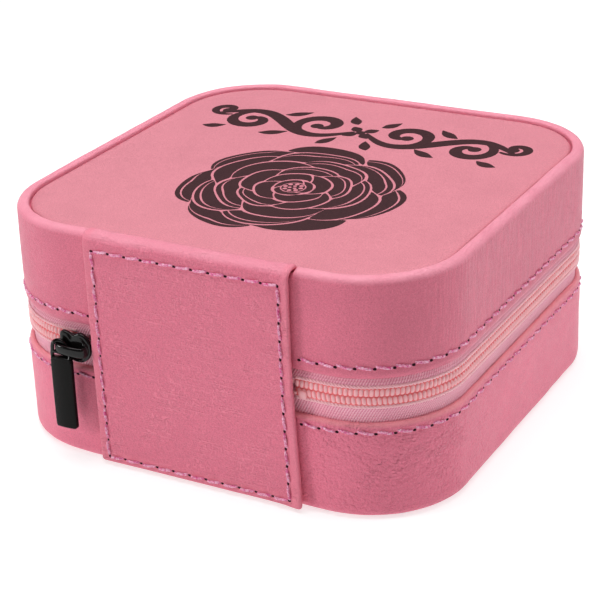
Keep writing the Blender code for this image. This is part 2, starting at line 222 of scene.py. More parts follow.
def outward(obj):
    """Turn every face of a closed mesh outward."""
    bm = bmesh.new()
    bm.from_mesh(obj.data)
    bmesh.ops.recalc_face_normals(bm, faces=bm.faces)
    bm.to_mesh(obj.data)
    bm.free()
    return obj


def grid_faces(rows, cols, wrap_rows=False, wrap_cols=False):
    """Quads of a grid of rows x cols vertices, which may close on itself either way."""
    r = np.arange(rows if wrap_rows else rows - 1)
    c = np.arange(cols if wrap_cols else cols - 1)
    r, c = (a.ravel() for a in np.meshgrid(r, c, indexing="ij"))
    nr, nc = (r + 1) % rows, (c + 1) % cols
    return np.stack([r * cols + c, nr * cols + c, nr * cols + nc, r * cols + nc], 1)


def loft(name, rings, mat, closed=False, uv=None):
    """A skin over rings of points. The rings close into a loop, or each end has a face."""
    rings = np.asarray(rings, float)
    rows, cols = rings.shape[:2]
    faces = grid_faces(rows, cols, wrap_rows=closed, wrap_cols=True).tolist()
    if not closed:
        faces += [range(cols), range((rows - 1) * cols, rows * cols)]
    return outward(mesh_piece(name, rings.reshape(-1, 3), faces, mat, uv=uv))


def slab(name, tops, bottoms, mat, smooth=True):
    """One piece from thin plates, each a grid of top points over a grid of bottom points."""
    verts, faces = [], []
    for top, bottom in zip(tops, bottoms):
        start = len(verts)
        rows, cols = np.shape(top)[:2]
        count = rows * cols
        verts += [*np.reshape(top, (-1, 3)), *np.reshape(bottom, (-1, 3))]
        index = np.arange(count).reshape(rows, cols) + start
        quads = grid_faces(rows, cols) + start
        faces += quads.tolist() + (quads[:, ::-1] + count).tolist()
        rim = [*index[0], *index[1:, -1], *index[-1, -2::-1], *index[-2:0:-1, 0]]
        faces += [(a, b, b + count, a + count) for a, b in zip(rim, rim[1:] + rim[:1])]
    return outward(mesh_piece(name, verts, faces, mat, smooth=smooth))


def swept(name, runs, profile, mat, closed=True, lumps=(), shape=None):
    """A skin that follows the case's outline. profile is a closed list of (inset, z) in section,
    and shape(runs, insets, zs) may return changed insets and zs."""
    profile = np.array(profile, float)
    run_grid = np.repeat(runs, len(profile))
    inset, z = np.tile(profile, (len(runs), 1)).T
    if shape:
        inset, z = shape(run_grid, inset, z)
    points = around(run_grid, inset, z)
    slope = unit((np.roll(profile, -1, 0) - np.roll(profile, 1, 0))[:, ::-1])
    if np.mean(slope[:, 0] * (profile[:, 0].mean() - profile[:, 0])) < 0:
        slope = -slope
    across, up = np.tile(slope, (len(runs), 1)).T
    out = np.column_stack([outline(run_grid)[1] * across[:, None], up])
    for height, size, seed in lumps:
        points += out * (ripple(points, size, seed) * height)[:, None]
    uv = np.column_stack([run_grid, np.tile(distances(profile), len(runs))])
    return loft(name, points.reshape(len(runs), -1, 3), mat, closed, uv)


def tubes(name, paths, radius, sides, mat):
    """Round tubes along several paths, as one piece, with a face at each end."""
    turn = np.arange(sides) * 2 * pi / sides
    verts, faces, uvs, start = [], [], [], 0
    for path in paths:
        tangent = unit(np.gradient(path, axis=0))
        side = np.cross(tangent[0], (0, 0, 1.0))
        if np.linalg.norm(side) < 0.1:
            side = np.cross(tangent[0], (0, 1.0, 0))
        ways = []
        for ahead in tangent:
            side = unit(side - ahead * (side @ ahead))
            ways.append((side, np.cross(ahead, side)))
        ways = np.array(ways)
        ring = ways[:, None, 0] * np.cos(turn)[:, None] + ways[:, None, 1] * np.sin(turn)[:, None]
        verts.append((path[:, None] + ring * radius).reshape(-1, 3))
        end = start + len(verts[-1])
        faces += (grid_faces(len(path), sides, wrap_cols=True) + start).tolist()
        faces += [range(start, start + sides)[::-1], range(end - sides, end)]
        uvs.append(np.column_stack([np.repeat(distances(path), sides),
                                    np.tile(np.arange(sides) / sides, len(path))]))
        start = end
    return outward(mesh_piece(name, np.concatenate(verts), faces, mat, uv=np.concatenate(uvs)))


def band(name, path, side, section, mat, closed=False, scales=1.0):
    """A bar along a path. side is the direction of the section's u, and scales shrinks the section
    at each point."""
    path = np.asarray(path, float)
    ahead = np.roll(path, -1, 0) - np.roll(path, 1, 0) if closed else np.gradient(path, axis=0)
    tangent = unit(ahead)
    side = unit(side - tangent * (tangent @ np.array(side, float))[:, None])
    normal = np.cross(tangent, side)
    scaled = section * np.broadcast_to(scales, len(path))[:, None, None]
    rings = path[:, None] + side[:, None] * scaled[:, :, :1] + normal[:, None] * scaled[:, :, 1:]
    uv = np.column_stack([np.repeat(distances(path), len(section)), np.tile(distances(section), len(path))])
    return loft(name, rings, mat, closed, uv)


def plate(name, loop, low, high, edge, mat, axes=(0, 2, 1), dome=0.0):
    """A flat part with rounded edges: loop is its outline on axes[:2], and low and high are its
    faces along axes[2]. dome raises the middle of the high face."""
    loop = np.asarray(loop, float)
    after = np.roll(loop, -1, 0)
    tangent = unit(after - np.roll(loop, 1, 0))
    area = np.sum(loop[:, 0] * after[:, 1] - after[:, 0] * loop[:, 1])
    inward = np.stack([-tangent[:, 1], tangent[:, 0]], 1) * np.sign(area) * edge
    middle = loop.mean(0)
    field = loop + inward - middle
    quarter = [(1 - cos(a), 1 - sin(a)) for a in np.radians(np.linspace(0, 90, 5))]
    rows = [(middle + field * share, low) for share in (0.05, 0.5)]
    rows += [(loop + inward * rise, low + edge * run) for run, rise in quarter]
    rows += [(loop + inward * run, high - edge * rise) for run, rise in quarter]
    rows += [(middle + field * share, high + dome * (1 - share ** 2)) for share in (0.85, 0.6, 0.3, 0.05)]
    rings = np.zeros((len(rows), len(loop), 3))
    for ring, (flat, height) in zip(rings, rows):
        ring[:, axes[:2]] = flat
        ring[:, axes[2]] = height
    return loft(name, rings, mat)


def joined(name, pieces):
    """Join several mesh objects into the first of them."""
    bpy.ops.object.select_all(action="DESELECT")
    for piece in pieces:
        piece.select_set(True)
    bpy.context.view_layer.objects.active = pieces[0]
    bpy.ops.object.join()
    pieces[0].name = name
    pieces[0].data.name = name
    return pieces[0]


def applied(obj, kind=None, **settings):
    """Add a modifier of this kind, if one is named, and replace the mesh by what it makes."""
    if kind:
        step = obj.modifiers.new(kind.lower(), kind)
        for key, value in settings.items():
            setattr(step, key, value)
    graph = bpy.context.evaluated_depsgraph_get()
    graph.update()
    mesh = bpy.data.meshes.new_from_object(obj.evaluated_get(graph))
    obj.modifiers.clear()
    obj.data = mesh
    return obj


def moved(obj, shift):
    """Move each vertex by what shift(x, y, z) gives, all in mm."""
    for vertex in obj.data.vertices:
        vertex.co += Vector(shift(*(vertex.co / MM))) * MM


# ---------------------------------------------------------------- materials
class Nodes:
    """A short way to write a material's node tree. Colours are (red, green, blue)."""

    def __init__(self, name):
        self.mat = bpy.data.materials.new(name)
        self.mat.use_nodes = True
        self.tree = self.mat.node_tree
        self.shader = self.tree.nodes["Principled BSDF"]
        self.place = self.coords()

    def add(self, kind, inputs=None, **settings):
        node = self.tree.nodes.new("ShaderNode" + kind)
        for key, value in settings.items():
            setattr(node, key, value)
        for key, value in (inputs or {}).items():
            self.put(value, node.inputs[key])
        return node

    def put(self, value, socket):
        if isinstance(value, bpy.types.NodeSocket):
            self.tree.links.new(value, socket)
        elif socket.type == "RGBA":
            socket.default_value = (*value, 1.0)
        else:
            socket.default_value = value

    def math(self, operation, a, b=0.0):
        return self.add("Math", {0: a, 1: b}, operation=operation).outputs[0]

    def times(self, a, b):
        return self.math("MULTIPLY", a, b)

    def plus(self, a, b):
        return self.math("ADD", a, b)

    def most(self, a, b):
        return self.math("MAXIMUM", a, b)

    def ramp(self, value, low, high, to_low=0.0, to_high=1.0):
        return self.add("MapRange", {"Value": value, "From Min": low, "From Max": high,
                                     "To Min": to_low, "To Max": to_high}).outputs[0]

    def mix(self, share, a, b):
        return self.add("Mix", {0: share, 6: a, 7: b}, data_type="RGBA").outputs[2]

    def coords(self, scale=(1, 1, 1), uv=False, rotation=(0, 0, 0)):
        """Object or UV coordinates in millimetres, then scaled."""
        source = self.add("TexCoord").outputs["UV" if uv else "Object"]
        factor = 1.0 if uv else 1 / MM
        return self.add("Mapping", {"Vector": source, "Rotation": rotation,
                                    "Scale": tuple(s * factor for s in scale)}).outputs[0]

    def axis(self, vector, name):
        return self.add("SeparateXYZ", {"Vector": vector}).outputs[name]

    def noise(self, vector, scale, detail=2.0, rough=0.5, output="Fac"):
        return self.add("TexNoise", {"Vector": vector, "Scale": scale, "Detail": detail,
                                     "Roughness": rough}).outputs[output]

    def cells(self, vector, scale, feature="F1", **inputs):
        return self.add("TexVoronoi", {"Vector": vector, "Scale": scale, **inputs},
                        feature=feature).outputs["Distance"]

    def shifted(self, vector, scale):
        """Coordinates pushed about by noise."""
        push = self.noise(vector, scale, output="Color")
        return self.add("VectorMath", {0: vector, 1: push}, operation="ADD").outputs[0]

    def bump(self, height, distance, strength=1.0, normal=None):
        """distance is the height, in mm, that a height value of 1 stands for."""
        inputs = {"Height": height, "Distance": distance * MM, "Strength": strength}
        if normal is not None:
            inputs["Normal"] = normal
        return self.add("Bump", inputs).outputs[0]

    def finish(self, colour, roughness, normal, **sockets):
        sockets = {"Base Color": colour, "Roughness": roughness, "Normal": normal, **sockets}
        for name, value in sockets.items():
            self.put(value, self.shader.inputs[name.replace("_", " ")])
        return self.mat


def shade(colour, factor, lift=0.0):
    return tuple(min(1.0, c * factor + lift) for c in colour)


def leather(name, colour, grain=0.09, pebble=0.05, folds=0.0, focus=None, strokes=0.0, lines=None,
            scratches=0.0, rough=0.46, edges=(), worn=0.20):
    """Artificial leather. Heights are in mm: grain is the fine print, pebble the rounded cells, and
    folds coarse creases, both strongest within focus = (centre, radius). strokes are sparse short
    crinkles, scratches long slanting ones, and lines = (height, spacings in x, y, z) drawn creases.
    Each of edges is (axis, start, end, colour, amount): a painted highlight where the leather is turned
    round an edge, mixed in more from start to end along the axis. worn is how pale the crinkles' crests are."""
    n = Nodes(name)
    place = n.place
    warped = n.shifted(place, 0.8)
    patches = n.noise(place, 0.11, 3.0)
    here = n.ramp(patches, 0.36, 0.66, 0.35, 1.0)
    if focus:
        centre, radius = focus
        away = n.add("VectorMath", {0: place, 1: centre}, operation="DISTANCE").outputs["Value"]
        here = n.times(here, n.ramp(away, radius * 0.55, radius * 1.3, 1.0, 0.22))
    fine = n.noise(place, 2.9, 4.0, 0.62)
    speck = n.noise(place, 4.6, 2.0, 0.6)
    normal = n.bump(n.plus(fine, n.times(speck, 0.5)), grain)
    cell = n.cells(warped, 1.1, "SMOOTH_F1", Smoothness=0.5)
    valley = n.ramp(n.cells(warped, 1.1, "DISTANCE_TO_EDGE"), 0.0, 0.34)
    domes = n.plus(n.times(cell, -1.0), n.times(valley, 0.5))
    normal = n.bump(n.times(domes, here), pebble, 1.0, normal)
    # Painted shade: the colour is darkened in the creases between the pebbles, and below in the folds and
    # the drawn creases.
    crease_shade = n.times(n.ramp(valley, 0.7, 0.0), n.times(here, 0.25))
    if folds:
        bent = n.shifted(n.coords((0.34, 0.34, 0.62), rotation=(0.5, 0.35, 0.0)), 0.7)
        ridge = n.math("ABSOLUTE", n.math("SUBTRACT", n.noise(bent, 1.0, 5.0, 0.6), 0.5))
        fold = n.ramp(ridge, 0.0, 0.09)
        normal = n.bump(n.times(fold, here), folds, 1.0, normal)
        crease_shade = n.most(crease_shade, n.times(n.ramp(fold, 0.6, 0.0), n.times(here, 0.35)))
    light = n.ramp(speck, 0.52, 0.70, 0.0, 0.42)
    crests = []
    if strokes:
        ways = (((1.0, 1.0, 2.3), (0.9, 0.6, 0.3)), ((2.3, 1.0, 0.9), (0.2, -0.7, 0.5)))
        crossed = [n.ramp(n.noise(n.coords(scale, rotation=turn), 0.95, 2.0, 0.4), 0.575, 0.65)
                   for scale, turn in ways]
        crests.append((n.times(n.most(*crossed), n.ramp(patches, 0.40, 0.55)), strokes))
    if scratches:
        hair = n.noise(n.coords((0.07, 0.5, 2.4), rotation=(0.0, 0.62, 0.0)), 1.0, 2.0, 0.5)
        crests.append((n.times(n.ramp(hair, 0.56, 0.65), n.ramp(patches, 0.42, 0.55)), scratches))
    for crest, height in crests:
        normal = n.bump(crest, height, 1.0, normal)
        light = n.most(light, n.times(crest, worn))
    if lines:
        height, spacing, side = lines
        streaks = n.noise(n.coords(tuple(1.0 / gap for gap in spacing)), 1.0, 3.0, 0.6)
        drawn = n.ramp(n.axis(place, "X"), *side)
        streaks = n.times(streaks, drawn)
        normal = n.bump(streaks, height, 1.0, normal)
        crease_shade = n.most(crease_shade, n.times(n.ramp(streaks, 0.60, 0.46), drawn))
    tone = n.mix(n.ramp(patches, 0.3, 0.7), shade(colour, 0.95), shade(colour, 1.05))
    fade = n.ramp(n.noise(place, 0.035), 0.35, 0.65, 0.0, 0.35)
    # Random tone, then the painted shade in the creases, then the darker grain.
    for share, factor in ((fade, 1.10), (n.times(crease_shade, 0.26), 0.60),
                          (n.ramp(fine, 0.60, 0.38, 0.0, 0.36), 0.70),
                          (n.ramp(speck, 0.44, 0.28, 0.0, 0.50), 0.62)):
        tone = n.mix(share, tone, shade(colour, factor))
    tone = n.mix(light, tone, shade(colour, 1.12, 0.07))
    # Painted highlights on the turned edges: each mixes its paler colour in along its axis.
    for axis, start, end, highlight_colour, amount in edges:
        along = n.axis(place, axis)
        uneven = n.ramp(n.noise(place, 0.16, 3.0), 0.3, 0.7, 0.72, 1.0)
        near = n.ramp(along, start, end) if start < end else n.ramp(along, end, start, 1.0, 0.0)
        tone = n.mix(n.times(n.times(near, amount), uneven), tone, highlight_colour)
    gloss = n.ramp(n.noise(place, 0.6, 3.0), 0.3, 0.7, rough - 0.06, rough + 0.08)
    return n.finish(tone, gloss, normal, Specular_IOR_Level=0.34, Sheen_Weight=0.06, Sheen_Roughness=0.4)


def fibrous(name, scale, colours, roughness, height, **sockets):
    """Cord or thread: one noise mixes two colours and raises the surface."""
    n = Nodes(name)
    strands = n.noise(n.coords(scale), 1.0, 3.0)
    return n.finish(n.mix(strands, *colours), roughness, n.bump(strands, height), **sockets)


def thread_material():
    n = Nodes("stitch_thread")
    # The pinkish-white patches are painted highlights on the thread.
    pale_mottle = n.ramp(n.noise(n.place, 1.5, 3.0, 0.6), 0.36, 0.66)
    fibres = n.bump(n.noise(n.coords((9.0, 9.0, 3.0)), 1.0), 0.05)
    return n.finish(n.mix(pale_mottle, (0.77, 0.065, 0.27), (1.0, 0.54, 0.72)), 0.24, fibres,
                    Sheen_Weight=0.25, Sheen_Roughness=0.3, Specular_IOR_Level=1.0)


def woven_tape():
    """Twill tape: u runs along the tape and v across it, both in mm."""
    n = Nodes("woven_tape")
    uv = n.coords(uv=True)
    u, v = n.axis(uv, "X"), n.axis(uv, "Y")
    slant = n.plus(n.times(v, 5.5), n.times(n.math("PINGPONG", v, 0.31), 3.0))
    warp = n.math("SINE", n.plus(n.times(u, 2 * pi / 0.62), slant))
    weft = n.math("COSINE", n.times(v, 2 * pi / 0.62))
    yarn = n.ramp(n.plus(warp, n.times(weft, 0.35)), -1.35, 1.35)
    pale_mottle = n.times(n.noise(n.place, 4.0, 3.0, 0.6), 0.3)
    drift = n.ramp(n.noise(n.place, 0.12), 0.3, 0.7)
    lit = n.mix(drift, (1.0, 0.38, 0.51), (1.0, 0.47, 0.58))
    # The yarn's grooves take the dark colour and its raised ribs the lit colours: painted shade and light on
    # the weave.
    tone = n.mix(n.ramp(yarn, 0.20, 0.66), (0.84, 0.17, 0.30), lit)
    tone = n.mix(pale_mottle, tone, (1.0, 0.78, 0.83))
    return n.finish(tone, 0.72, n.bump(n.plus(yarn, pale_mottle), 0.14),
                    Sheen_Weight=0.35, Sheen_Roughness=0.4, Specular_IOR_Level=0.3)


def coil_material():
    n = Nodes("nylon_coil")
    tone = n.mix(n.noise(n.place, 1.2, 3.0), (1.0, 0.40, 0.44), (1.0, 0.58, 0.61))
    gloss = n.ramp(n.noise(n.place, 3.0), 0.3, 0.7, 0.28, 0.42)
    scuffs = n.bump(n.noise(n.place, 7.0, 3.0, 0.65), 0.02)
    return n.finish(tone, gloss, scuffs, Subsurface_Weight=0.12, Subsurface_Scale=0.0006,
                    Subsurface_Radius=(1.0, 0.35, 0.3), Specular_IOR_Level=0.5)


def black_lacquer(name, gloss_low, gloss_high, specular):
    n = Nodes(name)
    wear = n.ramp(n.noise(n.place, 0.7, 5.0, 0.65), 0.55, 0.8, 0.0, 0.6)
    tone = n.mix(wear, (0.006, 0.005, 0.005), (0.014, 0.011, 0.011))
    gloss = n.ramp(n.noise(n.place, 1.6, 4.0, 0.6), 0.3, 0.75, gloss_low, gloss_high)
    peel = n.bump(n.noise(n.place, 1.1), 0.02, 0.6, n.bump(n.noise(n.place, 9.0, 3.0), 0.004))
    return n.finish(tone, gloss, peel, Specular_IOR_Level=specular)


def snap_steel():
    n = Nodes("snap_steel")
    brushed = n.noise(n.coords((14.0, 1.2, 1.2)), 1.0, 3.0)
    tone = n.mix(n.noise(n.place, 0.8, 3.0), (0.70, 0.62, 0.52), (0.84, 0.78, 0.70))
    return n.finish(tone, n.ramp(brushed, 0.2, 0.8, 0.18, 0.36), n.bump(brushed, 0.008), Metallic=1.0)


def engraved():
    """Leather scorched by the engraving: dark, matt and slightly charred along fine lines."""
    n = Nodes("engraved_leather")
    scan = n.noise(n.coords((0.8, 9.0, 1.0)), 1.0)
    char = n.noise(n.place, 2.4, 4.0, 0.65)
    tone = n.mix(n.ramp(char, 0.3, 0.75), (0.022, 0.006, 0.008), (0.060, 0.016, 0.021))
    tone = n.mix(n.times(scan, 0.3), tone, (0.085, 0.026, 0.032))
    pits = n.plus(n.cells(n.place, 2.2), n.times(scan, 0.4))
    return n.finish(tone, n.ramp(char, 0.3, 0.7, 0.55, 0.72), n.bump(pits, 0.05), Specular_IOR_Level=0.3)


def velvet(name, colour):
    n = Nodes(name)
    nap = n.noise(n.place, 0.16, 4.0, 0.55)
    pile = n.noise(n.place, 7.0, 2.0, 0.7)
    brushed = n.noise(n.coords((0.5, 0.12, 0.3)), 1.0, 3.0)
    tone = n.mix(n.ramp(nap, 0.35, 0.65), shade(colour, 0.82), shade(colour, 1.12))
    tone = n.mix(n.ramp(brushed, 0.4, 0.65, 0.0, 0.5), tone, shade(colour, 1.2))
    tone = n.mix(n.times(pile, 0.4), tone, shade(colour, 0.7))
    return n.finish(tone, 0.88, n.bump(pile, 0.12, 0.9, n.bump(nap, 0.25, 0.5)),
                    Sheen_Weight=0.8, Sheen_Roughness=0.3, Specular_IOR_Level=0.15)


def ribbed_elastic():
    n = Nodes("ribbed_elastic")
    ribs = n.ramp(n.math("SINE", n.times(n.axis(n.place, "X"), 5.6)), -1.0, 1.0)
    height = n.plus(ribs, n.times(n.noise(n.place, 5.0, 3.0), 0.3))
    # Dark in the grooves and pale on the ribs, from the same wave as the bump: painted shade and light.
    return n.finish(n.mix(ribs, (0.42, 0.10, 0.15), (0.72, 0.24, 0.31)), 0.78, n.bump(height, 0.12),
                    Sheen_Weight=0.4)


def foam():
    n = Nodes("foam")
    pores = n.cells(n.place, 1.6)
    # Darker in the pores, from the same cells as the bump: painted shade in the hollows.
    tone = n.mix(n.ramp(pores, 0.0, 0.6), (0.55, 0.52, 0.45), (0.80, 0.78, 0.70))
    return n.finish(tone, 0.9, n.bump(pores, 0.15))


def pressed_board():
    n = Nodes("pressed_board")
    flecks = n.noise(n.place, 1.8, 5.0, 0.7)
    tone = n.mix(n.ramp(flecks, 0.35, 0.7), (0.30, 0.28, 0.25), (0.50, 0.47, 0.42))
    return n.finish(tone, 0.9, n.bump(flecks, 0.08))


def needle_hole():
    # Near-black, for the painted shade inside the needle holes.
    n = Nodes("needle_hole")
    torn = n.noise(n.place, 4.0)
    tone = n.mix(torn, (0.012, 0.003, 0.006), (0.05, 0.012, 0.02))
    return n.finish(tone, 0.8, n.bump(torn, 0.05), Specular_IOR_Level=0.1)


# TOP_PINK_LIT is a paler copy of the wall pink, for the lid's top: painted light from above.
PINK, TOP_PINK_LIT = (0.790, 0.174, 0.268), (0.745, 0.257, 0.318)
# Painted highlights: paler colours mixed in on the lid's rim, the base's lip at the zip, and the panel's top
# bend and turned edges.
RIM_HIGHLIGHT, LIP_HIGHLIGHT, TURNED_EDGE_HIGHLIGHT = (0.93, 0.36, 0.46), (0.98, 0.35, 0.39), (0.90, 0.235, 0.32)
WALL_LEATHER = leather("wall_leather", PINK, 0.14, 0.05, strokes=0.02, worn=0.12,
                       lines=(0.20, (0.8, 0.55, 5.5), (-40.0, -50.0)),
                       edges=[("Z", 52.0, 53.3, RIM_HIGHLIGHT, 0.9)])
TOP_LEATHER = leather("top_leather", TOP_PINK_LIT, 0.07, 0.035, strokes=0.01, worn=0.06, rough=0.42)
# The base's leather is the wall pink made brighter: painted light, a lit copy of the same leather.
BASE_LEATHER = leather("base_leather", shade(PINK, 1.12), 0.12, 0.27, folds=0.11, strokes=0.02, worn=0.12,
                       focus=((-44.0, 44.0, 9.0), 26.0), edges=[("Z", 20.9, 21.55, LIP_HIGHLIGHT, 0.9)])
# The panel's leather is the wall pink made a little brighter: painted light, a lit copy of the same leather.
PANEL_LEATHER = leather("panel_leather", shade(PINK, 1.05), 0.19, 0.05, strokes=0.07, scratches=0.08,
                        rough=0.42, worn=0.55,
                        edges=[("Z", 52.3, 53.4, RIM_HIGHLIGHT, 0.7), ("Z", 3.9, 2.9, TURNED_EDGE_HIGHLIGHT, 0.55),
                               ("X", 21.9, 22.9, TURNED_EDGE_HIGHLIGHT, 0.55), ("X", -22.4, -23.4, TURNED_EDGE_HIGHLIGHT, 0.55)])
THREAD, HOLE_SHADE = thread_material(), needle_hole()
TAPE, COIL = woven_tape(), coil_material()
CHAIN_THREAD = fibrous("chain_thread", (5.0, 5.0, 9.0), [(1.0, 0.40, 0.47), (1.0, 0.66, 0.70)],
                       0.6, 0.06, Sheen_Weight=0.4)
CORE = fibrous("filler_cord", (3.0, 3.0, 5.0), [(0.88, 0.13, 0.15), (1.0, 0.30, 0.32)], 0.8, 0.08)
BLACK = black_lacquer("black_gloss_metal", 0.08, 0.17, 0.28)
BLACK_TAB = black_lacquer("black_satin_metal", 0.17, 0.26, 0.09)
STEEL = snap_steel()
ENGRAVED = engraved()
VELVET = velvet("velvet", (0.66, 0.22, 0.28))
ELASTIC, BOARD, FOAM = ribbed_elastic(), pressed_board(), foam()
POCKET_CLOTH = velvet("pocket_cloth", (0.74, 0.29, 0.35))


# ---------------------------------------------------------------- leather shells of lid and base
def wall_run(z_from, z_to, dips, step=0.9):
    """Outer wall as (outward, z) from one height to another. Each dip is (z, depth, width)."""
    heights = np.linspace(z_from, z_to, int(abs(z_to - z_from) / step) + 1)
    outs = sum(-depth * np.exp(-((heights - at) / width) ** 2) for at, depth, width in dips)
    return list(zip(outs, heights))


def make_shell(name, body, section, mat, lumps, shape=None):
    """A leather wall round the case from its section of (outward, z) points."""
    edges = PANEL_HALF + np.array([-0.1, 0.25, 0.6])
    runs = np.unique(np.concatenate([np.arange(0, LOOP, 1.0), edges, LOOP - edges]))
    shell = swept(name, runs, [(-out, z) for out, z in section], mat, shape=shape, lumps=lumps)
    settle(shell, body, "pink_leather", f"{body}_leather_wrap")


def make_lid_shell():
    """Side wall with a turned lower hem, a rounded rim, and a groove round the padded top. The rim
    is let down where the hinge panel lies over it."""
    hem, rim, lip = (1.05, 1.5), 1.5, 0.6
    rim_width = 2.7
    flange = LID_HIGH - 1.65
    section = [(-LEATHER, LID_LOW + 0.5), (-LEATHER, LID_LOW + 0.12)]
    section += arc((-hem[0], LID_LOW + hem[1]), (hem[0], -hem[1]), 90, degrees(0.12), 7)
    section += wall_run(LID_LOW + 1.7, LID_HIGH - rim - 0.3,
                        dips=[(LID_LOW + 2.7, 0.20, 0.8), (LID_LOW + 1.4, -0.08, 0.5)])
    section += arc((-rim, LID_HIGH - rim), rim, 0, 90, 6)
    section += arc((-rim_width + lip, LID_HIGH - lip), lip, 90, 180, 4)
    section += [(-rim_width, flange + 0.3), (-rim_width - 0.2, flange), (-5.0, flange),
                (-5.0, flange - 0.2), (-LEATHER, flange - 0.2), (-LEATHER, 45.0), (-LEATHER, 38.0)]

    def let_down(runs, inset, z):
        from_middle = np.minimum(runs % LOOP, LOOP - runs % LOOP)
        share = np.clip((PANEL_HALF + 0.55 - from_middle) / 0.6, 0, 1)
        high = np.clip((z - (LID_HIGH - 2.2)) / 1.6, 0, 1)
        inner_face = np.clip((inset - 0.4) / 2.0, 0, 1) * (inset < 3.0) * (z > LID_HIGH - 1.6)
        return inset - 1.15 * share * inner_face, z - 0.95 * share * high

    make_shell("lid_shell", "lid", section, WALL_LEATHER, LID_LUMPS, let_down)


def make_base_shell():
    """Side wall with a rounded hem at the zip, a soft lower edge, and the leather turned under it."""
    hem, foot = (1.05, 1.15), 2.3
    section = [(-LEATHER, z) for z in (4.0, 10.0, 16.0, BASE_HIGH - 0.5, BASE_HIGH - 0.12)]
    section += arc((-hem[0], BASE_HIGH - hem[1]), hem, 90, 0, 7)
    section += wall_run(BASE_HIGH - 1.35, foot + 0.3, dips=[(BASE_HIGH - 1.95, 0.20, 0.6)])
    section += arc((-foot, foot), foot, 0, -90, 6)
    section += [(-6.0, 0.0), (-6.0, 1.0), (-2.6, 1.1), (-1.5, 2.2)]
    make_shell("base_shell", "base", section, BASE_LEATHER, BASE_LUMPS)


def top_height(x, y):
    """Height of the padded top at (x, y): a soft crown with slight unevenness."""
    edge = (1 - min(1.0, abs(x) / TOP_HALF) ** 6) * (1 - min(1.0, abs(y) / TOP_HALF) ** 6)
    lumps = noise.noise(Vector((x / 24.0, y / 24.0, 2.0))) * 0.09
    lumps += noise.noise(Vector((x / 6.0, y / 6.0, 5.0))) * 0.025
    return TOP_Z + 0.02 + (0.26 + lumps) * edge


def make_lid_top():
    """The padded top: its edge rounds down into the groove, and its field is slightly crowned."""
    runs = np.linspace(0, LOOP, 288, endpoint=False)
    edge = [(3.3, -0.95), (3.15, -0.75), (3.15, -0.45), (3.3, -0.2), (3.65, -0.06), (4.3, 0.0)]
    rings = [around(runs, inset, TOP_Z + drop) for inset, drop in edge]
    rim = rings[-1][:, :2]
    rings += [[(x, y, top_height(x, y)) for x, y in rim * scale] for scale in np.linspace(0.985, 0.04, 44)]
    count = len(runs)
    points = [*np.concatenate(rings), (0, 0, top_height(0, 0)), (0, 0, TOP_Z - 0.95)]
    faces = grid_faces(len(rings), count, wrap_cols=True).tolist()
    last = (len(rings) - 1) * count
    faces += [(last + i, last + (i + 1) % count, len(points) - 2) for i in range(count)]
    faces += [((i + 1) % count, i, len(points) - 1) for i in range(count)]
    top = outward(mesh_piece("lid_top_padded", points, faces, TOP_LEATHER))
    settle(top, "lid", "pink_leather", "lid_top_leather")


# ---------------------------------------------------------------- engraving on the lid
BLOOM_CENTRE = np.array([-2.6, 11.6])
BLOOM_GAP = 0.55
HEART = 2.9                                     # radius inside the innermost petals
# Layers from the middle out: outer radius, petals, first angle, spiral lean of the petals' sides
BLOOM_LAYERS = [(4.4, 3, 0.3, 0.35), (8.3, 4, 1.3, 0.45), (12.4, 5, 0.5, -0.30), (17.0, 5, 1.2, 0.30),
                (21.4, 6, 0.2, -0.22), (25.4, 7, 0.75, 0.20)]
SCROLL_Y = -26.4
# One side of the scroll: spirals as (centre, first and last radius, first angle, turns, width), and
# leaves as (x, y, lean, size)
CURLS = [((11.0, -1.8), 7.8, 1.5, 0.62 * pi, -1.15, 3.3), ((28.4, 1.4), 7.2, 1.4, -0.62 * pi, 1.15, 3.1),
         ((38.0, -3.4), 4.2, 1.0, 0.75 * pi, -1.0, 2.3)]
LEAVES = [(5.2, 7.8, 1.1, 5.0), (19.6, 7.2, 0.5, 5.6), (19.9, -7.0, -2.5, 5.6), (35.2, 8.0, 0.35, 4.6),
          (4.6, -7.6, -1.0, 4.6)]


def inlay(name, patches, mat, rise=0.03):
    """Thin plates that lie on the padded top. Each patch is a grid (rows x cols) of (x, y)."""
    tops, bottoms = [], []
    for number, patch in enumerate(patches):
        heights = np.array([[top_height(x, y) for x, y in row] for row in patch])[:, :, None]
        tops.append(np.dstack([patch, heights + rise + number % 7 * 0.002]))
        bottoms.append(np.dstack([patch, heights - 0.05]))
    return slab(name, tops, bottoms, mat, smooth=False)


def petal_edge(layer, angle):
    """Outer radius of a layer of petals in each direction: one lobe for each petal."""
    radius, petals, first, _ = BLOOM_LAYERS[layer]
    share = ((angle - first) * petals / (2 * pi)) % 1.0
    lobe = 1 - np.abs(2 * share - 1) ** 3.2
    ruffle = 0.014 * np.sin(7 * angle + 2.1 * layer) + 0.018 * np.sin(3 * angle + layer)
    return radius * (0.885 + 0.115 * lobe + ruffle)


def inner_edge(layer, angle):
    return petal_edge(layer - 1, angle) + BLOOM_GAP if layer else HEART


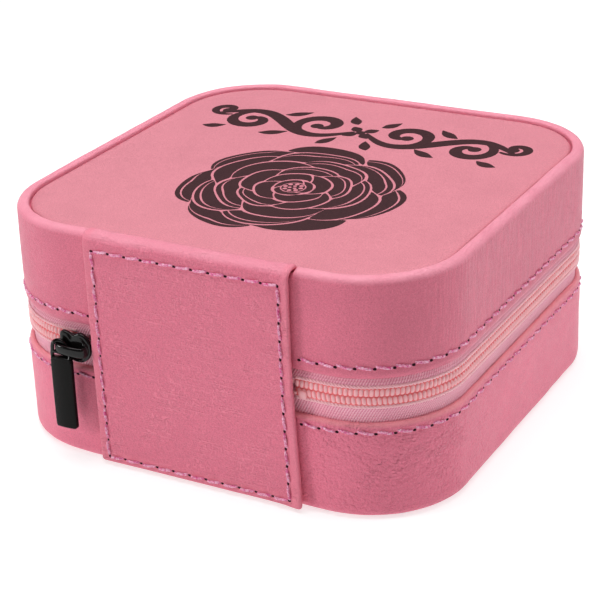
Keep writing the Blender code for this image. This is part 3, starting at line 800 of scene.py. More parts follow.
def petal(layer, low, high, inner_share, outer_share):
    """A petal between two angles, or a part of one, as a grid: rows go outward."""
    radius, _, _, lean = BLOOM_LAYERS[layer]
    share = np.linspace(inner_share, outer_share, 6)[:, None]
    side = np.linspace(0, 1, 16)
    start = inner_edge(layer, (low + high) / 2)
    reach = start + (radius - start) * share
    margin = BLOOM_GAP / 2 / np.maximum(reach, 1.0) + 0.10 * np.abs(share - 0.45) ** 2.5
    angle = low + margin + (high - low - 2 * margin) * side
    wave = 0.06 * np.sin(pi * side) * (inner_share > 0)
    inner, outer = inner_edge(layer, angle), petal_edge(layer, angle)
    reach = inner + (outer - inner) * np.clip(share + wave * (1 - share), 0, 1)
    turn = angle + lean * (share - 0.5) * (1 - 0.5 * layer / len(BLOOM_LAYERS))
    return BLOOM_CENTRE + np.dstack([reach * np.cos(turn), reach * np.sin(turn)]) * (1.0, 1.02)


def bloom_patches():
    """A generic layered bloom. Most outer petals are cut across by a second edge."""
    patches = []
    for layer, (_, petals, first, _) in enumerate(BLOOM_LAYERS):
        for index in range(petals):
            low, high = (first + (index + end) * 2 * pi / petals for end in (0, 1))
            whole = layer < 2 or (index + layer) % 3 == 0
            for cut in [(0.0, 1.0)] if whole else [(0.0, 0.66), (0.74, 1.0)]:
                patches.append(petal(layer, low, high, *cut))
    return patches


def disc_patch(centre, radius, rows=3, cols=16):
    """A small disc as a grid whose inner row is a point-sized ring."""
    turn = np.linspace(0, 2 * pi, cols)
    reach = np.linspace(0.02, radius, rows)[:, None]
    return np.dstack([centre[0] + reach * np.cos(turn), centre[1] + reach * np.sin(turn)])


def ribbon(points, thin, thick, power=1.0):
    """A calligraphic stroke that swells in the middle: three points across at each step."""
    tangent = unit(np.gradient(points, axis=0))
    across = np.stack([-tangent[:, 1], tangent[:, 0]], 1)
    half = (thin + (thick - thin) * np.sin(np.linspace(0, pi, len(points))) ** power)[:, None] / 2
    return np.stack([points - across * half, points, points + across * half], 1)


def spiral(centre, start_radius, end_radius, start_angle, turns, steps=34):
    share = np.linspace(0, 1, steps)
    angle = start_angle + turns * 2 * pi * share
    reach = start_radius + (end_radius - start_radius) * share ** 0.8
    return np.stack([centre[0] + reach * np.cos(angle), centre[1] + reach * np.sin(angle)], 1)


def scroll_patches():
    """A symmetric vine ornament without letters: two waves of scrolls and leaves from a middle bud."""
    middle = np.array([0.0, SCROLL_Y])
    strokes = []
    for mirror in ((-1, 1), (1, 1)):
        share = np.linspace(0, 1, 70)
        stem = np.stack([1.5 + 37.5 * share, 6.0 * np.sin(share * 2.0 * pi) * (1 - 0.25 * share)], 1)
        strokes.append(ribbon(stem * mirror + middle, 0.9, 3.5, 0.8))
        for *form, width in CURLS:
            curl = spiral(*form) * mirror + middle
            strokes += [ribbon(curl, 0.7, width, 0.8), disc_patch(curl[-1], 1.6)]
        for x, y, lean, size in LEAVES:
            along = np.linspace(-1, 1, 16)
            leaf = np.stack([x + along * size * cos(lean) * 0.62,
                             y + along * size * sin(lean) * 0.62 + 0.6 * (1 - along ** 2)], 1)
            strokes.append(ribbon(leaf * mirror + middle, 0.14, 2.7))
    for angle in (0.25, 0.75, 1.25, 1.75):
        way = np.array([cos(angle * pi), sin(angle * pi)])
        strokes.append(ribbon(np.linspace(0.15, 1, 12)[:, None] * 4.6 * way + middle, 0.35, 2.7))
    strokes.append(disc_patch(middle, 1.2))
    return strokes


def make_engraving():
    dots = [(1.9, angle, 0.52) for angle in np.arange(8) * pi / 4]
    dots += [(0.75, angle, 0.42) for angle in (0.4, 2.5, 4.6)]
    stamens = [disc_patch(BLOOM_CENTRE + (reach * cos(a), reach * sin(a)), size, 3, 12)
               for reach, a, size in dots]
    bloom = bloom_patches() + [disc_patch(BLOOM_CENTRE, 2.6, 4, 24)]
    for piece in (inlay("engraved_bloom", bloom, ENGRAVED),
                  inlay("engraved_scroll", scroll_patches(), ENGRAVED),
                  inlay("bloom_stamens", stamens, TOP_LEATHER, rise=0.07)):
        settle(piece, "lid", "pink_leather")


# ---------------------------------------------------------------- stitching
def stitch_paths(starts, ends, normals, slant=0.0, ply=0.16, height=0.46):
    """Two twisted plies for each stitch, rising out of one needle hole and into the next."""
    paths = []
    share = np.linspace(0, 1, 15)
    lift = height * np.sin(pi * share) ** 0.5 - height * 0.45
    for start, end, normal in zip(starts, ends, normals):
        across = unit(np.cross(end - start, normal))
        line = start + (end - start) * share[:, None]
        for start_turn in (0.0, pi):
            twist = start_turn + 2 * pi * 2.6 * share
            sideways = slant * np.cos(pi * share) + ply * np.cos(twist)
            paths.append(line + across * sideways[:, None] + normal * (lift + ply * np.sin(twist))[:, None])
    return paths


def hole_shade_discs(name, centres, normals, along, radius=0.35, sides=10):
    """Painted shade of the needle holes: small dark shallow discs with a raised middle."""
    verts, faces = [], []
    turn = np.arange(sides)[:, None] * 2 * pi / sides
    for centre, normal, direction in zip(centres, normals, along):
        start = len(verts)
        ring = direction * np.cos(turn) * 1.15 + np.cross(normal, direction) * np.sin(turn) * 0.85
        for reach, lift in ((1.0, -0.08), (1.0, 0.035), (0.5, 0.05)):
            verts += [*(centre + normal * lift + ring * reach * radius)]
        faces += (grid_faces(3, sides, wrap_cols=True) + start).tolist()
        faces += [range(start, start + sides), range(start + 2 * sides, start + 3 * sides)]
    return outward(mesh_piece(name, verts, faces, HOLE_SHADE))


def stitch_row(name, body, holes, normals, slant, closed=False):
    """Thread along a row of hole positions on a surface, with dark discs at the holes as painted shade."""
    holes, normals = np.asarray(holes, float), np.asarray(normals, float)
    after = np.roll(holes, -1, 0) if closed else holes[1:]
    before = holes[:len(after)]
    direction = unit(after - before)
    thread = tubes(name + "_thread", stitch_paths(before + direction * 0.42, after - direction * 0.30,
                                                  normals, slant), 0.215, 6, THREAD)
    direction = np.concatenate([direction, direction[-1:]])[:len(holes)]
    across = np.cross(direction, normals)
    hole_shade_piece = hole_shade_discs(name + "_holes", holes + across * slant * 0.9, normals, direction)
    for piece in (thread, hole_shade_piece):
        settle(piece, body, "pink_leather")


def make_wall_stitching():
    start = PANEL_HALF + 1.1
    runs = np.linspace(start, LOOP - start, round((LOOP - 2 * start) / STITCH_PITCH) + 1)
    normals = np.column_stack([outline(runs)[1], np.zeros(len(runs))])
    for body, z, lumps in (("lid", LID_LOW + 2.7, LID_LUMPS), ("base", BASE_HIGH - 1.9, BASE_LUMPS)):
        holes = around(runs, 0.14, z)
        uneven = sum(ripple(holes, size, seed) * height for height, size, seed in lumps)
        stitch_row(f"{body}_hem", body, holes + normals * uneven[:, None], normals, -0.26)


# ---------------------------------------------------------------- hinge panel
PANEL_THICK = 1.15
SEAM_X, SEAM_LOW, SEAM_HIGH = 22.0, 2.1, 50.3


def panel_line():
    """The panel's outer line as (y, z), from its lower edge over the rim into the groove."""
    over = 2.1
    points = [(PANEL_OUT, z) for z in np.arange(PANEL_LOW, LID_HIGH - 1.8, 0.25)]
    points += arc((PANEL_OUT - over, LID_HIGH - 1.8), over, 0, 90, 10)
    points += [(y, LID_HIGH + 0.3) for y in (51.5, 51.1)]
    points += arc((50.85, LID_HIGH - 0.85), 1.15, 90, 180, 8)
    points += [(49.7, z) for z in (LID_HIGH - 1.1, LID_HIGH - 1.35, LID_HIGH - 1.6)]
    return np.array(points)


PANEL_LINE = panel_line()
PANEL_REACH = distances(PANEL_LINE)


def panel_relief(x, reach):
    """How far the panel's outer face dips below its line, in mm."""
    z = PANEL_LOW + reach
    to_side = abs(abs(x) - SEAM_X)
    inside_z = max(SEAM_LOW - z, z - SEAM_HIGH, 0.0)
    inside_x = max(abs(x) - SEAM_X, 0.0)
    seam = min(sqrt(to_side ** 2 + inside_z ** 2),
               sqrt(min(abs(z - SEAM_LOW), abs(z - SEAM_HIGH)) ** 2 + inside_x ** 2))
    dip = 0.17 * np.exp(-(seam / 0.6) ** 2)
    bend = np.exp(-((z - HINGE_Z) / 5.0) ** 2)
    for height, size_x, size_z, seed in ((0.10, 22.0, 16.0, 3.0), (0.045, 5.0, 3.2, 8.0),
                                         (0.10 * bend, 16.0, 1.7, 1.0)):
        dip += height * noise.noise(Vector((x / size_x, z / size_z, seed)))
    kick = max(0.0, (-x - 15.0) / 9.2) ** 2 * max(0.0, (9.0 - z) / 9.0) ** 1.5
    lift = max(0.0, (x - 17.0) / 7.2) ** 2 * max(0.0, (z - 44.0) / 9.0)
    loose = 0.30 * max(0.0, (-x - 19.5) / 4.7) ** 2
    return dip - 0.6 * kick - 0.15 * lift - loose


def panel_skew(x, z):
    """The strip isn't quite square: its lower part spreads towards -X."""
    low = min(1.0, max(0.0, (36.0 - z) / 36.0)) ** 1.4
    return low * np.interp(x, (-24.2, -22.0, 22.0, 24.2), (1.7, 0.95, 0.35, 0.45))


def panel_point(x, reach, depth):
    """A point at a depth below the panel's outer face, and the face's normal there."""
    nearby = reach + np.array([-0.15, 0.0, 0.15])
    behind, spot, ahead = np.column_stack([np.interp(nearby, PANEL_REACH, PANEL_LINE[:, k]) for k in (0, 1)])
    along = unit(ahead - behind)
    normal = np.array([0.0, along[1], -along[0]])
    spot = np.array([x, *spot]) - normal * (depth + panel_relief(x, reach))
    spot[0] -= panel_skew(x, spot[2])
    return spot, normal


def make_panel():
    """One strip of leather with turned edges, built as for the closed case: it's sewn to the base, runs
    straight across the hinge, lies over the lid's rim and is tucked into the groove."""
    edge = 0.5
    half_thick = PANEL_THICK / 2
    flat = np.linspace(-1, 1, 67)
    turn = np.radians(np.linspace(-72, 72, 7))
    reaches = np.concatenate([[0.0, 0.12, 0.35, 0.7], np.arange(1.2, PANEL_REACH[-1] - 0.2, 0.62),
                              [PANEL_REACH[-1]]])
    rows = []
    for reach in reaches:
        close = min(1.0, (reach + 0.12) / 0.6)
        swell = sqrt(1 - (1 - close) ** 2)
        corner = min(1.0, reach / 0.9)
        half = PANEL_HALF - edge - 0.55 * (1 - sqrt(1 - (1 - corner) ** 2))
        row = [(half * f, half_thick * (1 - swell)) for f in flat]
        row += [(half + edge * cos(a), half_thick * (1 + swell * sin(a))) for a in turn]
        row += [(-half * f, half_thick * (1 + swell)) for f in flat[::2]]
        row += [(-half - edge * cos(a), half_thick * (1 - swell * sin(a))) for a in turn]
        rows.append([panel_point(x, reach, depth)[0] for x, depth in row])
    settle(loft("hinge_panel", rows, PANEL_LEATHER), "hinge", "pink_leather",
           "hinge_panel_lower", "hinge_panel_upper")

    corners = [(-SEAM_X, SEAM_LOW), (SEAM_X, SEAM_LOW), (SEAM_X, SEAM_HIGH), (-SEAM_X, SEAM_HIGH)]
    holes = []
    for (x0, z0), (x1, z1) in zip(corners, corners[1:] + corners[:1]):
        count = round((abs(x1 - x0) + abs(z1 - z0)) / STITCH_PITCH)
        holes += [(x0 + (x1 - x0) * step / count, z0 + (z1 - z0) * step / count) for step in range(count)]
    spots, normals = zip(*[panel_point(x, z - PANEL_LOW, -0.02) for x, z in holes])
    stitch_row("panel_seam", "hinge", spots, normals, 0.13, closed=True)


def make_hinge_liner():
    """The soft liner behind the panel, over the ends of the zip tapes inside the case."""
    low, high = box_mm("hinge_backing_lower")
    top = box_mm("hinge_backing_upper")[1][2]
    path = [(0.0, (low[1] + high[1]) / 2, z) for z in np.linspace(low[2], top, 56)]
    section = rounded_rect(high[0] - low[0], high[1] - low[1], 0.22, 2)
    liner = applied(band("hinge_liner", path, (1, 0, 0), section, VELVET), "SUBSURF", levels=1,
                    render_levels=1, subdivision_type="SIMPLE")

    def wrinkled(x, y, z):
        near = np.exp(-((z - HINGE_Z) / 4.0) ** 2)
        return 0, noise.noise(Vector((x / 14.0, z / 2.4, 4.0))) * 0.22 * near, 0

    moved(liner, wrinkled)
    settle(liner, "hinge", "velvet_lining", "hinge_backing_lower", "hinge_backing_upper")


# ---------------------------------------------------------------- zip
def held_height(runs, insets, zs):
    """Beside the slider the upper tape reaches only just behind the lid's hem."""
    tuck = np.interp(runs, (32.0, 42.0), (0.40, 1.0))
    fold = 31.2
    return insets, np.where(zs > fold, fold + (zs - fold) * tuck, zs)


def make_tapes():
    """Each tape bellies out to the chain, with a bead along its edge, and is tucked behind a hem."""
    thick = 0.6
    first, last = 22.4, LOOP - 22.3
    for name, side, body, (low, high), (begin, end), nodes in (
            ("lower_tape", -1, "base", (17.35, 27.6), (first, last), ["zip_tape_lower"]),
            ("upper_tape_start", 1, "held", (27.8, 36.2), (first, CHAIN_HELD), []),
            ("upper_tape", 1, "lid", (27.8, 36.2), (CHAIN_HELD, last), ["zip_tape_upper"])):
        section = []
        for z in np.linspace(low, high, 19):
            height = side * (z - CHAIN_Z)
            out = 1 - min(1.0, max(0.0, (height - 1.7) / 2.6))
            belly = 0.55 * out ** 0.7 * min(1.0, max(0.0, height / 1.6 - 0.1))
            bead = 0.16 * np.exp(-((height - 2.9) / 0.4) ** 2)
            section.append((TAPE_INSET - belly - bead, z))
        section += [(TAPE_INSET + thick, z) for z in (high - 0.1, (low + high) / 2, low + 0.1)]
        tape = swept(name, np.linspace(begin, end, int(end - begin) + 1), section, TAPE, closed=False,
                     lumps=[(0.10, 11.0, 6), (0.03, 2.0, 7)], shape=held_height if body == "held" else None)
        settle(tape, body, "zip_tape", *nodes)


def coil_path(middle_z, phase, mirror, begin, end):
    """A flattened helix along the outline whose outer sides stand nearly upright, like teeth."""
    turns = round((end - begin) / COIL_PITCH)
    t = np.linspace(0, 2 * pi * turns, turns * 12 + 1)
    runs = begin + COIL_PITCH * ((t - 0.7 * np.sin(t)) / (2 * pi) + phase)
    squash = np.sign(np.sin(t)) * np.abs(np.sin(t)) ** 0.75
    return around(runs, COIL_INSET - 0.37 * np.cos(t), middle_z + mirror * 0.53 * squash)


def cord_paths(z, inset, twist, spread, lift, begin, end):
    """Two plies of a cord that follows the outline at one height."""
    runs = np.append(np.arange(begin, end, twist / 10), end)
    angles = [2 * pi * runs / twist + ply for ply in (0.0, pi)]
    return [around(runs, inset - spread * np.cos(angle), z + lift * np.sin(angle)) for angle in angles]


def make_chain():
    """On each side a nylon coil round a filler cord, and the twisted thread that sews it on."""
    for label, side, body, begin, end, nodes in (
            ("lower", -1, "base", CHAIN_FROM, CHAIN_TO, ["zip_coil_lower"]),
            ("upper_start", 1, "held", CHAIN_FROM, CHAIN_HELD, []),
            ("upper", 1, "lid", CHAIN_HELD, CHAIN_TO, ["zip_coil_upper"])):
        middle = CHAIN_Z + side * 0.93
        path = coil_path(middle, 0.25 + 0.25 * side, -side, begin, end)
        coil = tubes(f"{label}_coil", [path], 0.47, 8, COIL)
        settle(coil, body, "zip_coil", *nodes)
        filler = around(np.append(np.arange(begin, end, 0.8), end), COIL_INSET, middle + side * 0.1)
        core = band(f"{label}_filler_cord", filler, (0, 0, 1), rounded_rect(2.1, 0.95, 0.3), CORE)
        plies = cord_paths(CHAIN_Z + side * 2.2, COIL_INSET - 0.35, 1.6, 0.17, 0.20, begin, end)
        sewn = tubes(f"{label}_chain_thread", plies, 0.235, 6, CHAIN_THREAD)
        for piece in (core, sewn):
            settle(piece, body, "zip_tape")


def make_bottom_stop():
    (x0, y0, z0), (x1, y1, z1) = box_mm("zip_bottom_stop")
    loop = smooth_curve([(x0, z0), (x0 + 0.1, z1 + 0.2), (x1 - 0.1, z1 + 0.2), (x1, z0),
                         ((x0 + x1) / 2, z0 - 0.3)], 30)
    stop = plate("zip_stop_crimp", loop, y0, y1, 0.3, COIL, dome=0.08)
    settle(stop, "base", "zip_coil", "zip_bottom_stop")


# ---------------------------------------------------------------- slider and pull
# Outline of the slider's plates, as (x, z) from its -X edge and its middle height
SLIDER_Z = 26.9
SLIDER_NECK = [(0.02, 0.0), (0.25, 1.6), (1.15, 3.0), (2.5, 3.55), (3.7, 3.2), (4.6, 2.85), (5.6, 3.35),
               (7.0, 3.5), (7.6, 2.7), (7.75, 1.7)]
SLIDER_FOOT = [(7.3, -1.3), (6.3, -2.5), (4.9, -3.15), (3.4, -3.4), (1.9, -3.1), (0.75, -2.2), (0.15, -1.1)]
PLATE_OUT, PLATE_IN = 54.15, 53.05              # faces of the slider's front plate, in y


def make_slider():
    """Front and back plates joined by a wedge, turned flanges, a moulded rim and a bowed bridge."""
    (x0, back, _), (x1, _, _) = box_mm("slider_body")
    x0 -= 0.25
    middle = (x0 + x1) / 2
    centre = np.array([x0 + 3.6, 26.95])
    form = SLIDER_NECK + [(x1 - 0.4 - x0, 0.3)] + SLIDER_FOOT
    loop = smooth_curve([(x0 + x, SLIDER_Z + z) for x, z in form], 108)
    wedge = smooth_curve([(x1 - 2.6, 27.7), (x1 - 1.6, 28.0), (x1 - 0.9, 27.7), (x1 - 1.6, 27.4)], 24)
    parts = [plate("front", loop, PLATE_IN, PLATE_OUT, 0.40, BLACK, dome=0.30),
             plate("back", centre + (loop - centre) * 0.95, back, back + 1.05, 0.3, BLACK),
             plate("wedge", wedge, back + 0.8, PLATE_IN + 0.3, 0.1, BLACK)]
    for sign in (-1, 1):
        for y in (52.85, 49.75):
            rail = [(x, y, SLIDER_Z + sign * (2.3 - 0.035 * (x - middle) ** 2))
                    for x in np.linspace(x0 + 1.1, x1 - 0.9, 18)]
            parts.append(band("flange", rail, (0, 1, 0), rounded_rect(0.9, 0.6, 0.22), BLACK))
    raised = [(x, PLATE_OUT + 0.22, z) for x, z in arc(centre, (2.75, 2.85), 118, 250, 39)]
    taper = np.sin(np.linspace(0.12, pi - 0.12, len(raised))) ** 0.4
    parts.append(band("rim", raised, (0, 1, 0), rounded_rect(0.62, 0.62, 0.28), BLACK, scales=taper))
    bow = smooth_curve([(x0 + 1.0, PLATE_IN + 0.6, 26.7), (x0 + 0.95, 54.9, 26.7),
                        (x0 + 1.55, 55.75, 26.75), (middle, 56.22, 26.9), (x1 - 1.7, 56.0, 27.0),
                        (x1 - 0.85, 55.2, 27.05), (x1 - 0.85, PLATE_IN + 0.6, 27.05)], 48, closed=False)
    width = 1 + 0.10 * np.abs(np.linspace(-1, 1, 48)) ** 2.5
    parts.append(band("bridge", bow, (0, 0, 1), oval_section(2.2, 0.95), BLACK, scales=width))
    for x in (x0 + 1.2, x1 - 1.3):
        foot = smooth_curve([(x - 0.9, 27.0), (x - 0.5, 28.3), (x + 0.5, 28.3), (x + 0.9, 27.0),
                             (x + 0.5, 25.6), (x - 0.5, 25.6)], 30)
        parts.append(plate("foot", foot, PLATE_IN + 0.5, PLATE_OUT + 0.5, 0.3, BLACK))
    settle(joined("slider", parts), "slider", "black_metal", "slider_body")


def make_pull():
    """A flat tab with soft edges, hung from the bridge by a loop."""
    (x0, _, z0), (x1, _, _) = box_mm("pull_tab")
    x0, x1 = x0 - 0.35, x1 - 0.45
    middle, half = (x0 + x1) / 2, (x1 - x0) / 2
    top, y_mid = 25.3, 56.15
    heights = np.concatenate([z0 + np.array([0, 0.12, 0.35, 0.7]), np.linspace(z0 + 1.2, top - 0.9, 30),
                              top - np.array([0.62, 0.45, 0.3, 0.12, 0])])
    scales = np.ones(len(heights))
    scales[:4] = (0.90, 0.955, 0.985, 1.0)
    scales[-5:] = (0.995, 0.94, 0.985, 0.965, 0.92)
    path = [(middle + 0.05 * sin((z - z0) / 5), y_mid, z) for z in heights]
    section = rounded_rect(x1 - x0, 1.25, 0.36, 4)
    section = np.vstack([section, (section[-1:] + section[:1]) / 2])
    tab = applied(band("tab", path, (1, 0, 0), section, BLACK_TAB, scales=scales), "SUBSURF", levels=1,
                  render_levels=1, subdivision_type="SIMPLE")

    def pillowed(x, y, z):
        across = (x - middle) / half
        swell = 0.26 * (1 - across ** 2) * (1 if y > y_mid else -1)
        return 0, swell, -0.25 * across ** 2 if z > z0 + 2 else 0

    moved(tab, pillowed)
    neck_y = y_mid - 0.1
    line = smooth_curve([(x0 + 0.9, neck_y, 26.05), (middle, neck_y + 0.05, 26.15),
                         (x1 - 0.5, neck_y, 26.25)], 14, closed=False)
    bar = band("bar", line, (0, 0, 1), rounded_rect(0.62, 0.8, 0.22), BLACK)
    loop = smooth_curve([(x1 - 0.40, neck_y, 24.9), (x1 - 0.34, neck_y, 26.6), (x1 - 0.5, 55.85, 28.0),
                         (x1 - 1.35, 55.45, 28.62), (x1 - 2.4, 55.3, 28.45), (x1 - 3.3, 55.1, 27.4),
                         (x1 - 3.75, 55.3, 26.3), (x0 + 0.75, neck_y, 25.0), (middle, neck_y, 24.4)], 72)
    wire = band("loop", loop, (0.25, 0.9, 0.3), rounded_rect(0.72, 0.86, 0.3), BLACK, closed=True)
    settle(joined("pull", [tab, bar, wire]), "pull", "black_metal", "pull_tab")


# ---------------------------------------------------------------- linings, boards and dividers
def lining(body, open_z, floor_z, back_z):
    """Velvet glued to the walls and floor of a shell, and turned over the edge of the wall board.
    floor_z is its shown face, back_z its hidden face and open_z its lip."""
    up = 1 if open_z > floor_z else -1
    outer, inner, lip, fillet = 4.2, 5.2, 2.5, 1.3
    section = [(outer + 0.4, back_z), (outer, back_z + 0.4 * up)]
    section += [(outer, z) for z in np.linspace(back_z + 1.5 * up, open_z - 0.6 * up, 9)]
    section += [(inset, open_z + rise * up) for inset, rise in (
        (outer, 0.02), (lip + 0.2, 0.02), (lip, 0.2), (lip + 0.12, 0.45), (lip + 0.5, 0.6),
        (inner - 0.9, 0.62), (inner - 0.3, 0.45), (inner, 0.05))]
    section += [(inner, z) for z in np.linspace(open_z - 0.8 * up, floor_z + 1.6 * up, 14)]
    section += [(inner + fillet * (1 - cos(radians(a))), floor_z + up * fillet * (1 - sin(radians(a))))
                for a in (15, 35, 55, 75, 90)]
    runs = np.arange(0, LOOP, 1.6)
    walls = [around(runs, inset, z) for inset, z in section]
    rings = [walls[0] * (share, share, 1) for share in (0.03, 0.3, 0.6, 0.85, 0.97)] + walls
    rings += [walls[-1] * (share, share, 1) for share in np.linspace(0.975, 0.03, 34)]
    points = np.concatenate(rings)
    lump = ripple(points, 13.0, 11) * 0.10 + ripple(points, 3.5, 12) * 0.035
    flat = np.abs(points[:, 2] - floor_z) < 0.3
    plan = points[:, :2]
    away = plan / (np.linalg.norm(plan, axis=1)[:, None] + 1)
    points[:, 2] += np.where(flat, lump * up, 0)
    points[:, :2] -= away * np.where(flat, 0, lump)[:, None]
    skin = loft(f"{body}_lining_velvet", points.reshape(len(rings), -1, 3), VELVET)
    settle(skin, body, "velvet_lining", f"{body}_lining")


def covered_panel(name, node, body, along, seam=1.6):
    """A stiff divider covered in velvet, with rounded edges and a sewn line below its top edge.
    along is the axis of its length, 0 or 1."""
    low, high = box_mm(node)
    across = 1 - along
    middle = (low + high)[across] / 2
    length, thick, tall = (high - low)[[along, across, 2]]
    corner = thick / 2 - 0.05
    section = rounded_rect(thick, tall, corner, 4)
    flat = np.linspace(tall / 2 - corner - 0.3, -tall / 2 + corner + 0.3, 15)
    section = np.vstack([section[:10], [(-thick / 2, v) for v in flat], section[10:],
                         [(thick / 2, v) for v in flat[::-1]]])
    u, v = section.T
    seam_dip = 0.13 * np.exp(-((tall / 2 - v - seam) / 0.35) ** 2)
    seam_dip *= np.sign(u) * np.clip(np.abs(u) * 4, 0, 1)
    steps = np.concatenate([[0.0, 0.15, 0.5], np.arange(1.1, length - 1.0, 1.1),
                            [length - 0.5, length - 0.15, length]])
    rings = np.zeros((len(steps), len(section), 3))
    for step, ring in zip(steps, rings):
        end = min(step, length - step)
        pinch = sqrt(1 - (1 - min(1.0, (end + 0.1) / 0.9)) ** 2)
        ring[:, along] = low[along] + step
        ring[:, across] = middle + u * pinch - seam_dip
        ring[:, 2] = low[2] + tall / 2 + v - (1 - pinch) * 0.5 * np.sign(v)
    points = rings.reshape(-1, 3)
    points[:, across] += ripple(points, 9.0, 21) * 0.07
    points[:, 2] += ripple(points, 11.0, 22) * 0.06
    wall = loft(name + "_velvet", rings, VELVET)
    paths = []
    for side in (-1, 1):
        steps = np.arange(2.0, length - 1.5, 2.5)
        spots = np.zeros((len(steps), 3))
        spots[:, along] = low[along] + steps
        spots[:, across] = middle + side * (thick / 2 - 0.12)
        spots[:, 2] = high[2] - seam
        normal = np.zeros(3)
        normal[across] = side
        gap = np.diff(spots, axis=0) * 0.15
        paths += stitch_paths(spots[:-1] + gap, spots[1:] - gap, [normal] * len(gap), 0.0, 0.10, 0.22)
    thread = tubes(name + "_velvet_thread", paths, 0.12, 5, THREAD)
    settle(wall, body, "velvet_lining", node)
    settle(thread, body, "velvet_lining")


# ---------------------------------------------------------------- ring rolls
ROLL_SCALE = 10.0                               # the cloth solver works on rolls this much enlarged
CLOTH = {"quality": 6, "mass": 0.3, "tension_stiffness": 18, "compression_stiffness": 18,
         "shear_stiffness": 8, "bending_stiffness": 0.4, "use_pressure": True,
         "uniform_pressure_force": 4.0}


def roll_shape(low, high):
    """A rounded block a little smaller than the roll's space, as an even grid to be inflated."""
    size = (high - low) - np.array([0.9, 1.3, 1.5])
    centre = (low + high) / 2 - np.array([0, 0, 0.3])
    bm = bmesh.new()
    bmesh.ops.create_cube(bm, size=1.0)
    for vertex in bm.verts:
        vertex.co = Vector(centre) + Vector(c * s for c, s in zip(vertex.co, size))
    bmesh.ops.bevel(bm, geom=list(bm.edges), offset=2.6, segments=3, profile=0.5, affect="EDGES")
    long_edges = [e for e in bm.edges if e.calc_length() > 8]
    bmesh.ops.subdivide_edges(bm, edges=long_edges, cuts=8, use_grid_fill=True)
    bmesh.ops.triangulate(bm, faces=[f for f in bm.faces if len(f.verts) > 4])
    bm.normal_update()
    mesh = bpy.data.meshes.new("roll_start")
    bm.to_mesh(mesh)
    bm.free()
    obj = bpy.data.objects.new("roll_start", mesh)
    bpy.context.scene.collection.objects.link(obj)
    return applied(obj, "REMESH", mode="VOXEL", voxel_size=1.05, use_smooth_shade=True)


def inflate(obj):
    """Let the cloth solver swell the roll, then apply it."""
    for vertex in obj.data.vertices:
        vertex.co *= ROLL_SCALE * MM
    obj.data.update()
    cloth = obj.modifiers.new("cloth", "CLOTH")
    for key, value in CLOTH.items():
        setattr(cloth.settings, key, value)
    cloth.settings.effector_weights.gravity = 0.0
    cloth.collision_settings.use_collision = False
    scene = bpy.context.scene
    scene.frame_start, scene.frame_end = 1, 20
    for number in range(1, 21):
        scene.frame_set(number)
    applied(obj)
    scene.frame_set(1)
    for vertex in obj.data.vertices:
        vertex.co /= ROLL_SCALE * MM


def make_ring_rolls():
    """Foam-filled rolls that hold rings between them: one is inflated, and the others are copies with
    their own unevenness."""
    low, high = box_mm("ring_roll_1")
    start = roll_shape(low, high)
    inflate(start)
    half = (high - low) / 2 - 0.06
    away = (np.array([v.co for v in start.data.vertices]) - (low + high) / 2) / half
    polygons = [tuple(p.vertices) for p in start.data.polygons]
    bpy.data.objects.remove(start)
    reach = (np.abs(away) ** 7).sum(1) ** (1 / 7)
    away = away / np.maximum(reach, 1.0)[:, None]
    away[:, 1:] *= 1 - 0.075 * np.exp(-((np.abs(away[:, :1]) - 0.915) / 0.022) ** 2)
    for number in range(1, 7):
        node = f"ring_roll_{number}"
        low, high = box_mm(node)
        points = (low + high) / 2 + away * half
        lump = ripple(points, 8.0, 30 + number) * 0.16 + ripple(points, 3.0, 40 + number) * 0.05
        points = points - away * np.array([0.4, 1.0, 1.0]) * (np.abs(lump) * 0.9)[:, None]
        roll = applied(mesh_piece(node + "_velvet", points, polygons, VELVET), "SUBSURF", levels=1,
                       render_levels=1)
        settle(roll, "base", "velvet_lining", node)


# ---------------------------------------------------------------- pocket, straps and snaps
POCKET_FOLDS = 15


def pocket_fall(x, y):
    """Height of the gathered pocket's cloth below the lid's ceiling, with folds from its elastic."""
    (x0, y0, _), (x1, y1, z1) = box_mm("lid_pocket")
    across, along = (x - x0) / (x1 - x0), (y - y0) / (y1 - y0)
    side = sin(min(1.0, min(across, 1 - across) / 0.09) * pi / 2)
    rear = sin(min(1.0, (1 - along) / 0.16) * pi / 2)
    belly = 1.9 * side * rear * (0.75 + 0.25 * sin(pi * min(1.0, along * 1.2)))
    gather = np.exp(-along / 0.55)
    jitter = 0.8 * noise.noise(Vector((across * 5, along * 1.5, 3.0)))
    phase = (across * POCKET_FOLDS + jitter) * 2 * pi
    depth = 0.52 * gather * side + 0.16 * side * rear
    fold = depth * (sin(phase) + 0.35 * sin(2 * phase + 1.0))
    return z1 - 0.25 - belly - fold - 0.12 * noise.noise(Vector((x / 5, y / 7, 2.0)))


def make_pocket():
    (x0, _, _), (x1, y1, _) = box_mm("lid_pocket")
    y_mouth = box_mm("pocket_elastic")[1][1] - 0.6
    cloth = np.array([[(x, y, pocket_fall(x, y)) for y in np.linspace(y_mouth, y1, 48)]
                      for x in np.linspace(x0, x1, 211)])
    pocket = slab("gathered_pocket", [cloth], [cloth + (0, 0, 0.22)], POCKET_CLOTH)
    settle(pocket, "lid", "velvet_lining", "lid_pocket")


